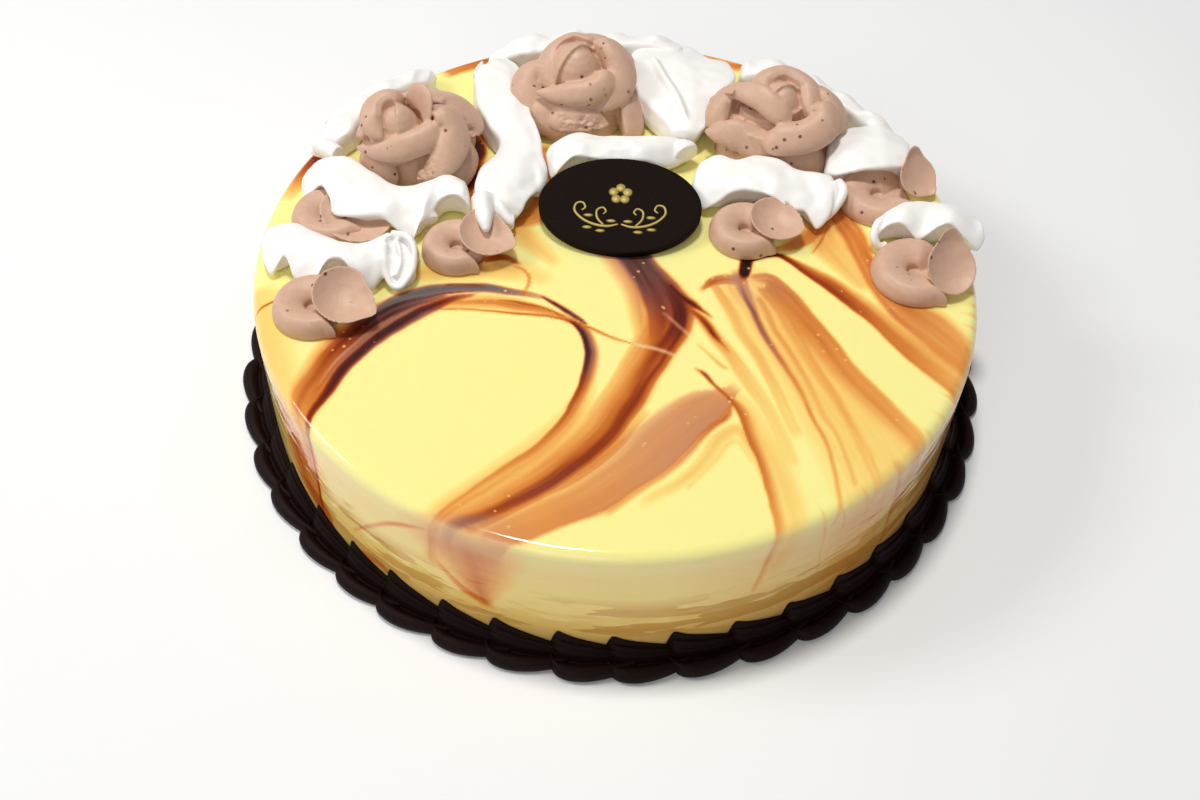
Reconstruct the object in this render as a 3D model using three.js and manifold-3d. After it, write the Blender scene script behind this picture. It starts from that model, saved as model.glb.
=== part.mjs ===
// A whole round celebration cake: a marbled glazed body, a piped chocolate shell border round its
// foot, and on the back half of its top three piped chocolate roses, chocolate blossoms of two
// petals each, white ruffles and an oval chocolate plaque.
// Millimetres, +Z up, the origin at the centre of the base, and -Y towards the viewer.
import * as THREE from "three";
import { mergeVertices } from "three/addons/utils/BufferGeometryUtils.js";
import Module from "manifold-3d";

const wasm = await Module();
wasm.setup();

// Driving dimensions
const CAKE = { radius: 102, height: 44, edge: 3.2, facets: 92, edgeSteps: 2 };
const BORDER = { shells: 41, firstHead: 275.5, outer: 112.4, height: 8.6, gap: 0.3, overlap: 1.3 };
const ROSE = {
  stations: 6, thickness: 5, budRadius: 6.3, budSides: 10, neckRadius: 6.8, neckTop: 18.8,
  moundTop: 12, sides: 12,
};
const BLOSSOM = { stations: 9, hole: 0.9, rim: 5.2, petal: 2.2, dish: 1.6, pinch: 0.26, sides: 14 };
const RUFFLE = { lip: 1.5, foot: 0.4, bulge: 1.1, stationsPerPoint: 1.3 };
const PLAQUE = { width: 47, depth: 32, thickness: 2.4, tilt: 15, centre: [0.2, 15.6], sides: 40 };
const CLEAR = 0.3;
const DEGREE = Math.PI / 180;

// Roses: where the bud stands, how high it is and where its seam is, the core that the petals are
// piped on as its offset and radii, and the petals. A petal is a fat band: its line is given as
// direction in degrees from +X, distance from the bud's middle and height over the cake, then how
// wide it is and how steeply it slopes out.
const ROSES = [
  {
    name: "rose_left",
    at: [-65.5, 33.5],
    bud: { top: 21, seam: 300 },
    core: { shift: [4, 0], foot: [15, 11.5], crest: [3.5, 1, 11, 7.5, 16] },
    petals: [
      { line: [[246, 8, 18], [205, 7.7, 20], [160, 7.8, 21.8], [120, 7.4, 22.6], [78, 7.2, 21.6]], wide: 6, slope: 28 },
      { line: [[84, 8.2, 18], [62, 9, 21.5], [30, 9.2, 22], [5, 8.8, 18.5], [345, 8.6, 15]], wide: 8, slope: -62 },
      { line: [[203, 12.3, 12], [240, 8.8, 14], [285, 7.8, 15], [335, 10.2, 16], [0, 13, 16.5]], wide: 7, slope: 46 },
      { line: [[38, 12.5, 18.5], [12, 15.6, 18.5], [353, 18, 15.5], [330, 16.5, 12], [298, 12.5, 7]], wide: 8.6, slope: 40 },
      { line: [[98, 13, 16], [70, 17, 15.5], [48, 21.5, 14], [28, 22, 11.5], [14, 21, 9]], wide: 11.5, slope: 30 },
      { line: [[176, 10.4, 8], [210, 10, 7.5], [245, 10, 6], [275, 9.6, 5.4]], wide: 10, slope: 60 },
      { line: [[22, 19.5, 8], [2, 20.5, 7.5], [342, 19.5, 5.5], [318, 16.5, 4]], wide: 9.5, slope: 58 },
      { line: [[182, 10.6, 12], [135, 12, 12.5], [96, 13, 11.5]], wide: 9.5, slope: 50 },
      { line: [[158, 12, 6], [115, 13.6, 6.4], [76, 15.4, 6.4], [44, 18, 6]], wide: 11, slope: 60 },
    ],
  },
  {
    name: "rose_centre",
    at: [-14.9, 64.5],
    bud: { top: 21, seam: 250 },
    core: { shift: [0, -2], foot: [15.5, 14.5], crest: [2, 0, 10, 9, 16] },
    petals: [
      { line: [[224, 9, 17], [188, 8, 19], [145, 8.3, 21.5], [95, 9, 22], [50, 10, 21]], wide: 5.6, slope: 28 },
      { line: [[218, 14.2, 14], [248, 10.8, 15], [289, 10.4, 15.5], [322, 10.8, 16.5], [348, 10.6, 17]], wide: 6.6, slope: 48 },
      { line: [[58, 10.6, 19.5], [28, 12.6, 20.2], [2, 14.5, 17.6], [338, 14.2, 14.5], [301, 13.4, 11]], wide: 8.6, slope: 36 },
      { line: [[80, 12.4, 18.5], [52, 14.4, 18.2], [28, 15.6, 17], [8, 16.4, 15]], wide: 8, slope: 40 },
      { line: [[162, 11.5, 14.5], [182, 15.6, 14.3], [200, 16.2, 11.8], [228, 14.6, 7.6]], wide: 9.6, slope: 40 },
      { line: [[200, 15.6, 7.4], [224, 16.4, 7], [246, 14.6, 6.4], [266, 13.6, 5.6]], wide: 9.6, slope: 55 },
      { line: [[238, 15.4, 7.6], [262, 14.2, 8.6], [288, 14.2, 8.2], [308, 17, 5.6]], wide: 8.6, slope: 46 },
      { line: [[8, 16, 8.8], [350, 18, 7.8], [332, 20.8, 5.8], [317, 22.4, 3.8]], wide: 10, slope: 52 },
      { line: [[164, 13, 12.5], [128, 13, 13.4], [95, 13.4, 13.6], [62, 14.4, 13]], wide: 9, slope: 48 },
      { line: [[172, 14, 5.6], [130, 15, 6.2], [85, 15.6, 6.2], [40, 16, 5.6]], wide: 11, slope: 60 },
    ],
  },
  {
    name: "rose_right",
    at: [47.2, 52.5],
    bud: { top: 21, seam: 80 },
    core: { shift: [-1, -2], foot: [18, 14.5], crest: [-2, 1, 13, 9, 14] },
    petals: [
      { line: [[190, 6.6, 19], [140, 8, 21.5], [85, 9, 21.5], [28, 9.4, 20], [325, 10.4, 17]], wide: 6.4, slope: 30 },
      { line: [[292, 7.8, 15.6], [245, 5.8, 16.8], [196, 6.6, 18], [171, 11.4, 18.8], [172, 17.4, 18]], wide: 6.6, slope: 38 },
      { line: [[228, 12.2, 10.4], [262, 11.8, 12.2], [300, 13.2, 13.4], [330, 15.2, 15.4], [358, 13.6, 17.6]], wide: 8.6, slope: 42 },
      { line: [[38, 12.6, 17], [10, 15.6, 16], [354, 17, 13.8], [338, 17, 11]], wide: 8, slope: 42 },
      { line: [[148, 16, 15.6], [168, 18.6, 15], [182, 19.4, 12.6], [196, 18.4, 9.6]], wide: 8, slope: 48 },
      { line: [[194, 23.2, 9.2], [206, 18.4, 10.6], [222, 14.2, 9.6], [260, 12, 6.6]], wide: 9, slope: 50 },
      { line: [[266, 11.8, 5.6], [292, 13.6, 6], [312, 16, 5], [328, 17, 3.6]], wide: 9.6, slope: 58 },
      { line: [[152, 12.4, 13], [115, 12.4, 14], [80, 13.2, 13.4], [48, 13.6, 12]], wide: 9, slope: 48 },
      { line: [[176, 17, 6], [135, 15.6, 6.4], [90, 15.4, 6.4], [45, 16, 6], [14, 16.6, 5.4]], wide: 11, slope: 60 },
    ],
  },
];

// Blossoms: a broad petal piped flat round its own centre, and a smaller dished one that lies over
// its end. The broad one has the direction where its sweep starts and how far it turns, and the
// small one the direction of its tip, how far that tip is raised and how high the dish lies.
const BLOSSOMS = [
  {
    name: "blossom_front_left",
    broad: { at: [-82, -26], radius: 10.6, start: 72, turn: 262 },
    small: { at: [-73.3, -25.4], radius: 9.2, tip: 80, lean: 10, lift: 2.8 },
  },
  {
    name: "blossom_back_left",
    broad: { at: [-82.5, 9.5], radius: 11.2, start: 70, turn: 260 },
    small: { at: [-74.5, 9.6], radius: 11.4, tip: 90, lean: 7, lift: 2.6 },
  },
  {
    name: "blossom_middle_left",
    broad: { at: [-45.5, -0.5], radius: 9.6, start: 60, turn: 276 },
    small: { at: [-37.2, 2.2], radius: 8, tip: 100, lean: 12, lift: 3 },
  },
  {
    name: "blossom_middle_right",
    broad: { at: [36.5, 11.8], radius: 10.2, start: 48, turn: 292 },
    small: { at: [46.4, 13.2], radius: 7.4, tip: 118, lean: 12, lift: 3 },
  },
  {
    name: "blossom_back_right",
    broad: { at: [76.5, 29.5], radius: 12, start: 64, turn: 290 },
    small: { at: [87.5, 35.6], radius: 6, tip: 106, lean: 24, lift: 3.6 },
  },
  {
    name: "blossom_front_right",
    broad: { at: [84, -1.8], radius: 12.2, start: 66, turn: 264 },
    small: { at: [93.2, -3.4], radius: 7.4, tip: 88, lean: 24, lift: 3.6 },
  },
];

// Ruffles: ribbons piped flat. Each is held down along its back and free at its scalloped lip, and
// both run from left to right or from back to front as x, y and height over the cake.
const RUFFLES = [
  {
    name: "ruffle_front_left",
    back: [[-98, 0, 7.4], [-91, 0, 8], [-84, -3, 8], [-76, -6, 8], [-69, -6, 8.6], [-62, -3, 9.6], [-57, -4, 8]],
    lip: [
      [-99.5, -5, 6], [-97.5, -10, 3.6], [-94.5, -12, 3], [-90.5, -13, 7.4], [-88, -17, 4.4], [-83.5, -18, 2.6],
      [-79, -17, 8.4], [-74.5, -17.5, 9.8], [-70.5, -18, 7], [-67, -18.5, 2.8], [-64, -14.5, 4.6], [-61.5, -17.5, 2.6],
      [-58, -13, 6], [-55.5, -7, 6.4],
    ],
  },
  {
    name: "ruffle_middle_left",
    back: [[-86, 28.5, 8.4], [-79, 26, 9.6], [-72, 20.5, 9.6], [-64, 17, 9], [-56, 17.5, 9.4], [-49, 19, 9.6], [-42, 17, 8.6]],
    lip: [
      [-90.5, 25, 8], [-92.5, 20, 5.4], [-91, 16.5, 3], [-86, 16.5, 8], [-82.5, 13, 8.6], [-81, 7, 6.4],
      [-74.5, 5.2, 7.2], [-67, 5.4, 7.4], [-62, 4, 4], [-58, 2, 2.8], [-55.5, 3.5, 7.4], [-52.5, 4, 4.4],
      [-50, 8, 8.6], [-46, 10.5, 9.6], [-42, 9, 7],
    ],
  },
  {
    name: "ruffle_left_of_centre",
    back: [[-48.5, 72, 11], [-46.5, 63, 10], [-43, 53, 9.4], [-38, 42, 8], [-38, 31, 8], [-40.5, 21, 8], [-41, 11, 6.4], [-39, 4, 3.4]],
    lip: [[-47, 71, 11], [-41, 66, 9], [-34, 56, 9.4], [-27.5, 44, 8.4], [-25.5, 35, 9.4], [-28, 27, 5], [-26.5, 16.5, 6.4], [-30.5, 6.5, 2.8]],
  },
  {
    name: "ruffle_front_centre",
    back: [[-19.5, 40, 8], [-14, 42.5, 9.4], [-6, 42, 9.6], [3, 42, 9.6], [10, 43, 9.4], [18, 44.5, 8]],
    lip: [
      [-21.5, 35, 8], [-20, 29.5, 3], [-16, 31.5, 8], [-12, 31.5, 9.2], [-7, 32.5, 8.4], [0, 34, 7.4], [7, 34, 7.4],
      [12, 35, 5], [17, 38, 4], [21.5, 42.5, 6],
    ],
  },
  {
    name: "ruffle_right_of_centre",
    back: [[2, 85, 7], [2.5, 76, 9], [4.5, 66, 9.6], [7, 58, 9], [11, 50, 7.4]],
    lip: [[21.5, 87, 4.4], [24.5, 82, 8], [28.5, 74, 5], [24.5, 66, 9], [26.5, 58, 5], [21.5, 48, 5]],
  },
  {
    name: "ruffle_front_right",
    back: [[22.5, 33, 8], [28, 33, 9.4], [34, 31, 9.6], [40, 33, 9.6], [46, 32.5, 9.6], [52, 30, 9], [58, 29.5, 9], [63, 28.5, 8]],
    lip: [
      [20.5, 27.5, 6], [23.5, 20.5, 3], [28, 21.5, 6.4], [33.5, 24.5, 9.8], [39.5, 22.5, 8.6], [45, 20.5, 6.8],
      [50, 19, 4.6], [53.5, 19.5, 8], [57, 16, 2.8], [60, 19, 4.4], [63, 18.5, 6], [65.5, 24, 7],
    ],
  },
  {
    name: "ruffle_right",
    back: [[64.5, 43.5, 7], [71, 46, 9], [78, 47.5, 9], [86, 46, 7]],
    lip: [[65.5, 32, 6], [69, 32.5, 9], [77, 33.5, 9.4], [82, 35, 8.4], [86.5, 38, 6.6]],
  },
  {
    name: "ruffle_far_right",
    back: [[75.5, 17, 8.4], [82, 20, 9.4], [89, 20.5, 9], [97, 20.5, 9], [104, 16.5, 6.4]],
    lip: [
      [73, 12.5, 7], [74.5, 9, 3], [77.5, 10.5, 8.4], [81, 10, 9], [86, 8, 5.6], [91, 9.5, 9.2], [95, 9, 9.8],
      [99, 8, 7], [103, 7.5, 3.6], [105.5, 10.5, 5],
    ],
  },
  {
    name: "ruffle_back_left",
    back: [[-82, 38.5, 7.4], [-79, 47, 9], [-74, 55, 9.4], [-67, 62.5, 9], [-60, 68, 7]],
    lip: [
      [-88, 33, 4], [-93, 37, 3.4], [-88.5, 43.5, 8.4], [-90, 50, 4], [-83, 54, 8.6], [-82.5, 61.5, 4.4],
      [-75, 63, 8.8], [-73, 71, 4.4], [-66, 70.5, 8.4], [-63.5, 76, 4.4], [-58.5, 73, 6],
    ],
  },
  {
    name: "ruffle_back_centre",
    back: [[-37, 80, 7], [-28, 84, 9], [-17, 86.5, 9.4], [-5, 87, 9.4], [8, 88, 9], [18, 86.5, 7]],
    lip: [
      [-39.5, 86.5, 5], [-36, 92, 4], [-29, 91.5, 8.6], [-24, 97, 4.2], [-16.5, 94.5, 8.8], [-10, 99, 4.2],
      [-3, 95, 8.6], [4, 99, 4], [11, 94.5, 8.4], [17, 97, 4], [20.5, 91, 5],
    ],
  },
  {
    name: "ruffle_back_right",
    back: [[36, 78, 7], [46, 77, 9], [56, 72, 9.4], [65, 64.5, 9.4], [73, 56, 8.4], [79, 49, 7]],
    lip: [
      [37, 87.5, 5], [43, 91, 4], [48, 84, 8.8], [57, 83.5, 4.2], [60, 76.5, 8.8], [68.5, 75, 4.2],
      [70, 68, 8.8], [78.5, 65.5, 4.2], [78.5, 59, 8.6], [86, 55, 4.2], [84, 50.5, 7], [88, 46, 5],
    ],
  },
];

const COLOURS = {
  glaze: new THREE.MeshStandardMaterial({ color: 0xf6e38c, roughness: 0.12, metalness: 0 }),
  darkChocolate: new THREE.MeshStandardMaterial({ color: 0x1d0f0b, roughness: 0.35, metalness: 0 }),
  cocoaCream: new THREE.MeshStandardMaterial({ color: 0xab8370, roughness: 0.55, metalness: 0 }),
  whiteCream: new THREE.MeshStandardMaterial({ color: 0xf7f5f0, roughness: 0.45, metalness: 0 }),
};

// Solids

// A closed geometry as a manifold solid, turned right side out where its rings ran the other way.
function solidOf(geometry) {
  const bare = geometry.index ? geometry.toNonIndexed() : geometry.clone();
  bare.deleteAttribute("normal");
  bare.deleteAttribute("uv");
  const merged = mergeVertices(bare, 1e-3);
  const vertProperties = merged.attributes.position.array;
  const triVerts = new Uint32Array(merged.index.array);
  const solid = new wasm.Manifold(new wasm.Mesh({ numProp: 3, vertProperties, triVerts }));
  if (solid.volume() >= 0) return solid;
  for (let i = 0; i < triVerts.length; i += 3) {
    [triVerts[i + 1], triVerts[i + 2]] = [triVerts[i + 2], triVerts[i + 1]];
  }
  return new wasm.Manifold(new wasm.Mesh({ numProp: 3, vertProperties, triVerts }));
}

function meshOf(solid, name, material) {
  const made = solid.getMesh();
  const geometry = new THREE.BufferGeometry();
  geometry.setAttribute("position", new THREE.BufferAttribute(made.vertProperties, 3));
  geometry.setIndex(new THREE.BufferAttribute(made.triVerts, 1));
  geometry.computeVertexNormals();
  const mesh = new THREE.Mesh(geometry, material);
  mesh.name = name;
  return mesh;
}

// A skin over closed rings of equally many points, shut by a fan at each end.
function loft(rings) {
  const count = rings[0].length;
  const points = rings.flat();
  const centreOf = (ring) =>
    ring.reduce((sum, p) => sum.add(p), new THREE.Vector3()).divideScalar(ring.length);
  const first = points.push(centreOf(rings[0])) - 1;
  const last = points.push(centreOf(rings[rings.length - 1])) - 1;
  const faces = [];
  for (let j = 0; j < count; j++) {
    const next = (j + 1) % count;
    faces.push(first, next, j);
    const end = (rings.length - 1) * count;
    faces.push(last, end + j, end + next);
    for (let i = 0; i < rings.length - 1; i++) {
      const a = i * count + j;
      const b = i * count + next;
      faces.push(a, b, b + count, a, b + count, a + count);
    }
  }
  const geometry = new THREE.BufferGeometry().setFromPoints(points);
  geometry.setIndex(faces);
  return solidOf(geometry);
}

// The largest of the bodies that a cut left behind.
function largest(solid) {
  return solid.decompose().reduce((a, b) => (b.volume() > a.volume() ? b : a));
}

// A block whose flat underside is the plane that the pieces stand on.
function spaceAbove(level) {
  const size = 400;
  return solidOf(new THREE.BoxGeometry(size, size, size).translate(0, 0, level + size / 2));
}

// A smooth line through points, as a curve.
function smoothLine(points) {
  return new THREE.CatmullRomCurve3(points.map((p) => new THREE.Vector3(...p)), false, "centripetal");
}

// The cake

function cakeBody() {
  const { radius, height, edge, facets, edgeSteps } = CAKE;
  const profile = [new THREE.Vector2(0, 0), new THREE.Vector2(radius, 0)];
  for (let i = 0; i <= edgeSteps; i++) {
    const turn = (i / edgeSteps) * (Math.PI / 2);
    const out = radius - edge + edge * Math.cos(turn);
    profile.push(new THREE.Vector2(out, height - edge + edge * Math.sin(turn)));
  }
  profile.push(new THREE.Vector2(0, height));
  return solidOf(new THREE.LatheGeometry(profile, facets).rotateX(Math.PI / 2));
}

// One shell of the border: a fat ridged head that leans on the cake, drawn out to a low tail that
// the next head covers.
function shell(index) {
  const { shells, firstHead, outer, height, overlap } = BORDER;
  const step = 360 / shells;
  const inner = CAKE.radius - 1.5;
  const stations = [
    { along: -0.4, size: 0.5, lift: 0.84 },
    { along: -0.14, size: 1, lift: 1 },
    { along: 0.34, size: 0.88, lift: 0.66 },
    { along: overlap - 0.5, size: 0.5, lift: 0.34 },
  ];
  const ridges = [[0, 0], [0, 1], [0.3, 0.78], [0.42, 0.92], [0.66, 0.56], [0.8, 0.62], [1, 0]];
  const rings = stations.map(({ along, size, lift }) => {
    const angle = (firstHead + (index + along) * step) * DEGREE;
    return ridges.map(([out, up]) => {
      const r = inner + (outer - inner) * size * out;
      return new THREE.Vector3(r * Math.cos(angle), r * Math.sin(angle), up * height * lift);
    });
  });
  return loft(rings);
}

function border() {
  const hole = new THREE.CylinderGeometry(
    CAKE.radius + BORDER.gap, CAKE.radius + BORDER.gap, 4 * CAKE.height, CAKE.facets,
  ).rotateX(Math.PI / 2);
  const shells = Array.from({ length: BORDER.shells }, (_, i) => shell(i));
  return largest(wasm.Manifold.union(shells).subtract(solidOf(hole)).intersect(spaceAbove(0))).simplify(0.16);
}

// Roses

// A petal is a drop-shaped section swept along its line: fat where it leaves the crease, crisp at its
// outer lip, and smaller towards both ends.
function rosePetal({ line, wide, slope }, [x, y], pad) {
  const path = smoothLine(line.map(([turn, out, up]) =>
    [out * Math.cos(turn * DEGREE), out * Math.sin(turn * DEGREE), up]));
  const across = new THREE.Vector2(Math.cos(slope * DEGREE), -Math.sin(slope * DEGREE));
  const normal = new THREE.Vector2(-across.y, across.x);
  const drop = [[-0.5, -0.2], [-0.34, 0.3], [0, 0.5], [0.32, 0.34], [0.5, -0.1], [-0.05, -0.66]];
  const rings = [];
  for (let i = 0; i <= ROSE.stations; i++) {
    const share = i / ROSE.stations;
    const full = Math.max(0.3, Math.sqrt(1 - Math.abs(2 * share - 1) ** 3));
    const at = path.getPointAt(share);
    const ahead = path.getTangentAt(share);
    const outward = new THREE.Vector3(ahead.y, -ahead.x, 0).normalize();
    if (outward.dot(at) < 0) outward.negate();
    rings.push(drop.map(([a, n]) => {
      const width = a * (wide * full + 2 * pad);
      const depth = n * (ROSE.thickness * full + 2 * pad);
      const p = at.clone().addScaledVector(outward, across.x * width + normal.x * depth);
      p.z += across.y * width + normal.y * depth;
      return p.add(new THREE.Vector3(x, y, CAKE.height));
    }));
  }
  return loft(rings);
}

// The bud is a dome whose skin winds once round it and ends in a step at its seam.
function bud({ top, seam }, [x, y], pad) {
  const { budRadius, budSides } = ROSE;
  const dome = [[0.4, 1], [0.76, 1], [0.9, 0.86], [0.98, 0.55], [1, 0.14]];
  return loft(dome.map(([up, out]) => Array.from({ length: budSides }, (_, j) => {
    const turn = j / budSides;
    const angle = (seam + 360 * turn + 40 * up) * DEGREE;
    const radius = (budRadius * (0.92 + 0.16 * turn) + pad) * out;
    const z = CAKE.height + top * up + pad;
    return new THREE.Vector3(x + radius * Math.cos(angle), y + radius * Math.sin(angle), z);
  })));
}

// The heap of cream under the petals: a broad foot, a crest that the outer petals lean on and a neck
// round the bud.
function roseCore({ foot, shift, crest }, [x, y], pad) {
  const { neckRadius, neckTop, moundTop, sides } = ROSE;
  const stack = [
    [shift[0], shift[1], foot[0], foot[1], 0.74, moundTop],
    [crest[0], crest[1], crest[2], crest[3], 0.8, crest[4]],
    [0, 0, neckRadius, neckRadius, 0.94, neckTop],
  ];
  return wasm.Manifold.union(stack.map(([dx, dy, rx, ry, taper, top]) => {
    const block = new THREE.CylinderGeometry(taper, 1, top + 1 + pad, sides).rotateX(Math.PI / 2);
    block.scale(rx + pad, ry + pad, 1);
    return solidOf(block.translate(x + dx, y + dy, CAKE.height + (top - 1 + pad) / 2));
  }));
}

function rose({ at, bud: budShape, core, petals }, pad = 0) {
  const pieces = petals.map((petal) => rosePetal(petal, at, pad));
  const whole = wasm.Manifold.union([roseCore(core, at, pad), bud(budShape, at, pad), ...pieces]);
  return largest(whole.intersect(spaceAbove(CAKE.height - pad)));
}

// Blossoms

// A petal piped round its own centre: low at the hole, swelling to a fat rim.
function broadPetal({ at: [x, y], radius, start, turn }, pad = 0) {
  const { stations, hole, rim } = BLOSSOM;
  const rings = [];
  for (let i = 0; i <= stations; i++) {
    const share = i / stations;
    const angle = (start + turn * share) * DEGREE;
    const ends = Math.sin(Math.PI * THREE.MathUtils.clamp(share * 0.86 + 0.1, 0, 1)) ** 0.3;
    const out = radius * (0.86 + 0.14 * ends);
    const outline = [
      [hole, -pad], [hole, rim * 0.35 + pad], [out * 0.4, rim * 0.8 * ends + pad],
      [out * 0.74 + pad, rim * ends + pad], [out * 0.97 + pad, rim * 0.55 * ends + pad],
      [out + pad, 0.12 * rim], [out * 0.93 + pad, -pad],
    ];
    rings.push(outline.map(([r, up]) =>
      new THREE.Vector3(x + r * Math.cos(angle), y + r * Math.sin(angle), CAKE.height + up)));
  }
  return largest(loft(rings).intersect(spaceAbove(CAKE.height - pad)));
}

// The small petal is a thin dish on a short stalk, narrower towards its tip, with the tip raised.
function smallPetal({ at, radius, tip, lean, lift }, pad = 0) {
  const { petal, dish, pinch, sides } = BLOSSOM;
  const half = petal / 2 + pad;
  const rim = radius + pad;
  const profile = [[0, -half], [0.6 * rim, 0.3 * dish - half], [rim, dish - half * 0.6]];
  profile.push([0.98 * rim, dish + half * 0.5], [0.6 * rim, 0.3 * dish + half], [0, half]);
  const leaf = new THREE.LatheGeometry(profile.map((p) => new THREE.Vector2(...p)), sides);
  leaf.rotateX(Math.PI / 2);
  const corners = leaf.attributes.position;
  for (let i = 0; i < corners.count; i++) {
    const forward = Math.max(0, corners.getY(i) / rim);
    corners.setX(i, corners.getX(i) * (1 - pinch * forward * forward));
  }
  leaf.rotateX(lean * DEGREE).rotateZ((tip - 90) * DEGREE).translate(...at, CAKE.height + lift);
  const stalk = new THREE.CylinderGeometry(3 + pad, 3.6 + pad, lift, 10).rotateX(Math.PI / 2);
  stalk.translate(...at, CAKE.height + lift / 2);
  return largest(solidOf(leaf).add(solidOf(stalk)).intersect(spaceAbove(CAKE.height - pad)));
}

// Ruffles

// A ribbon between its back and its lip. It stands on the cake along its back half, swells a little,
// and thins to the lip, which hangs free over what lies in front.
function ruffle({ back, lip }, pad = 0) {
  const backLine = smoothLine(back);
  const lipLine = smoothLine(lip);
  const count = Math.round(lip.length * RUFFLE.stationsPerPoint);
  const low = -RUFFLE.foot - pad;
  const rings = [];
  for (let i = 0; i <= count; i++) {
    const share = i / count;
    const from = backLine.getPointAt(share);
    const to = lipLine.getPoint(share);
    const along = (part, up) => new THREE.Vector3().lerpVectors(from, to, part).setZ(up);
    const out = pad / Math.hypot(to.x - from.x, to.y - from.y);
    const middle = THREE.MathUtils.lerp(from.z, to.z, 0.5) + RUFFLE.bulge;
    const under = Math.max(0.2, Math.min(middle - RUFFLE.lip * 1.6, to.z - RUFFLE.lip));
    rings.push([
      along(-0.06 - out, low), along(-0.06 - out, from.z - 1.4), along(0.1, from.z + pad),
      along(0.6, middle + pad), along(1 + out, to.z + 0.4),
      along(0.96 + out, to.z - RUFFLE.lip - pad), along(0.66 + out, under - pad), along(0.5 + out, low),
    ].map((p) => p.setZ(p.z + CAKE.height)));
  }
  return largest(loft(rings).intersect(spaceAbove(CAKE.height - pad)));
}

// The plaque: an oval slab that leans on the ruffle behind it.
function plaque(pad = 0) {
  const { width, depth, thickness, tilt, centre, sides } = PLAQUE;
  const slab = new THREE.CylinderGeometry(1, 1, thickness + 2 * pad, sides).rotateX(Math.PI / 2);
  slab.scale(width / 2 + pad, depth / 2 + pad, 1).rotateX(tilt * DEGREE);
  const rise = (depth / 2) * Math.sin(tilt * DEGREE) + (thickness / 2) * Math.cos(tilt * DEGREE);
  slab.translate(centre[0], centre[1], CAKE.height + rise);
  return solidOf(slab);
}

// Assembly: what is piped later is cut clear of what it was piped round.
const cake = new THREE.Group();
const placed = [];

// Cuts a piece by the grown shapes of those before it that come near, and adds it to the cake.
function place(name, material, build) {
  let piece = build(0);
  for (const { grown } of placed) piece = piece.subtract(grown);
  placed.push({ grown: build(CLEAR) });
  cake.add(meshOf(largest(largest(piece).simplify(0.1)), name, material));
}

cake.add(meshOf(cakeBody(), "cake", COLOURS.glaze));
cake.add(meshOf(border(), "shell_border", COLOURS.darkChocolate));
for (const each of ROSES) place(each.name, COLOURS.cocoaCream, (pad) => rose(each, pad));
place("plaque", COLOURS.darkChocolate, plaque);
for (const { name, broad, small } of BLOSSOMS) {
  place(name + "_small", COLOURS.cocoaCream, (pad) => smallPetal(small, pad));
  place(name + "_broad", COLOURS.cocoaCream, (pad) => broadPetal(broad, pad));
}
for (const each of RUFFLES) place(each.name, COLOURS.whiteCream, (pad) => ruffle(each, pad));

export default cake;
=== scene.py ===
import itertools
import math

import bpy
import numpy as np
from mathutils import Matrix, Vector


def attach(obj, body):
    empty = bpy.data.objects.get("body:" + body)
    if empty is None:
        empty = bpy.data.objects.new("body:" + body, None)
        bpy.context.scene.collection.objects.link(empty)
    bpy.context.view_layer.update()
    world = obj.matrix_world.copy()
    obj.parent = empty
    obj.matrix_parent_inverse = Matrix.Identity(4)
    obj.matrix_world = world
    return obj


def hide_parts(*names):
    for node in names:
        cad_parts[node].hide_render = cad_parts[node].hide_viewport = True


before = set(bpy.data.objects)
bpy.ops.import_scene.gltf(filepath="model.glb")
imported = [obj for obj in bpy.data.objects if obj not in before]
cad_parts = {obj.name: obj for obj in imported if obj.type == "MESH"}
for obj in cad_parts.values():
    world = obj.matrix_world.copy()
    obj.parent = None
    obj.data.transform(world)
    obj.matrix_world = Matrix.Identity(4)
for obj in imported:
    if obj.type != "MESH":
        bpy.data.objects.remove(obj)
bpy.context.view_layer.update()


# The cake: a round sponge and mousse body under a poured mirror glaze. Cocoa glaze is dripped over the
# wet pale yellow glaze and drawn out with a palette knife, so it runs in ribbons over the top and down
# the wall.
MM = 0.001
CAKE_RADIUS = 102
CAKE_HEIGHT = 44
EDGE = 3.2
TOP_CELLS = 360
EDGE_ROWS = 8
WALL_ROWS = 54
GLAZE_PURE = [
    (0.00, (255, 243, 159)), (0.15, (254, 222, 130)), (0.30, (246, 194, 106)), (0.45, (228, 150, 70)),
    (0.60, (197, 105, 38)), (0.75, (156, 62, 18)), (0.88, (104, 32, 14)), (1.00, (36, 13, 10)),
]
GLAZE_MILKY = [
    (0.00, (255, 243, 178)), (0.15, (248, 218, 160)), (0.30, (232, 182, 130)), (0.45, (214, 152, 106)),
    (0.60, (170, 122, 106)), (0.75, (110, 104, 102)), (0.88, (82, 52, 54)), (1.00, (44, 24, 28)),
]
# Painted reflection on the wall, by height: darker and warmer towards the foot.
WALL_TONE_AND_REFLECTION = [
    (0, (240, 204, 180)), (0.22, (246, 212, 190)), (0.36, (255, 230, 212)), (0.62, (255, 238, 228)),
    (0.8, (255, 236, 244)), (1, (255, 250, 255)),
]
BUBBLE_TONE = (240, 196, 132)
# Painted shade on the wall at the right.
RIGHT_PAINTED_SHADE = (212, 192, 188)
# Painted highlight round the rounded edge of the top.
EDGE_HIGHLIGHT_TONE = (255, 240, 190)
# Painted reflection in patches low on the wall.
REFLECTION_PATCH_TONE = (222, 204, 180)


def linear(colour):
    """A colour as read off a screen, 0 to 255, as light."""
    return [((c / 255 + 0.055) / 1.055) ** 2.4 if c > 10 else c / 255 / 12.92 for c in colour] + [1]


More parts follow.
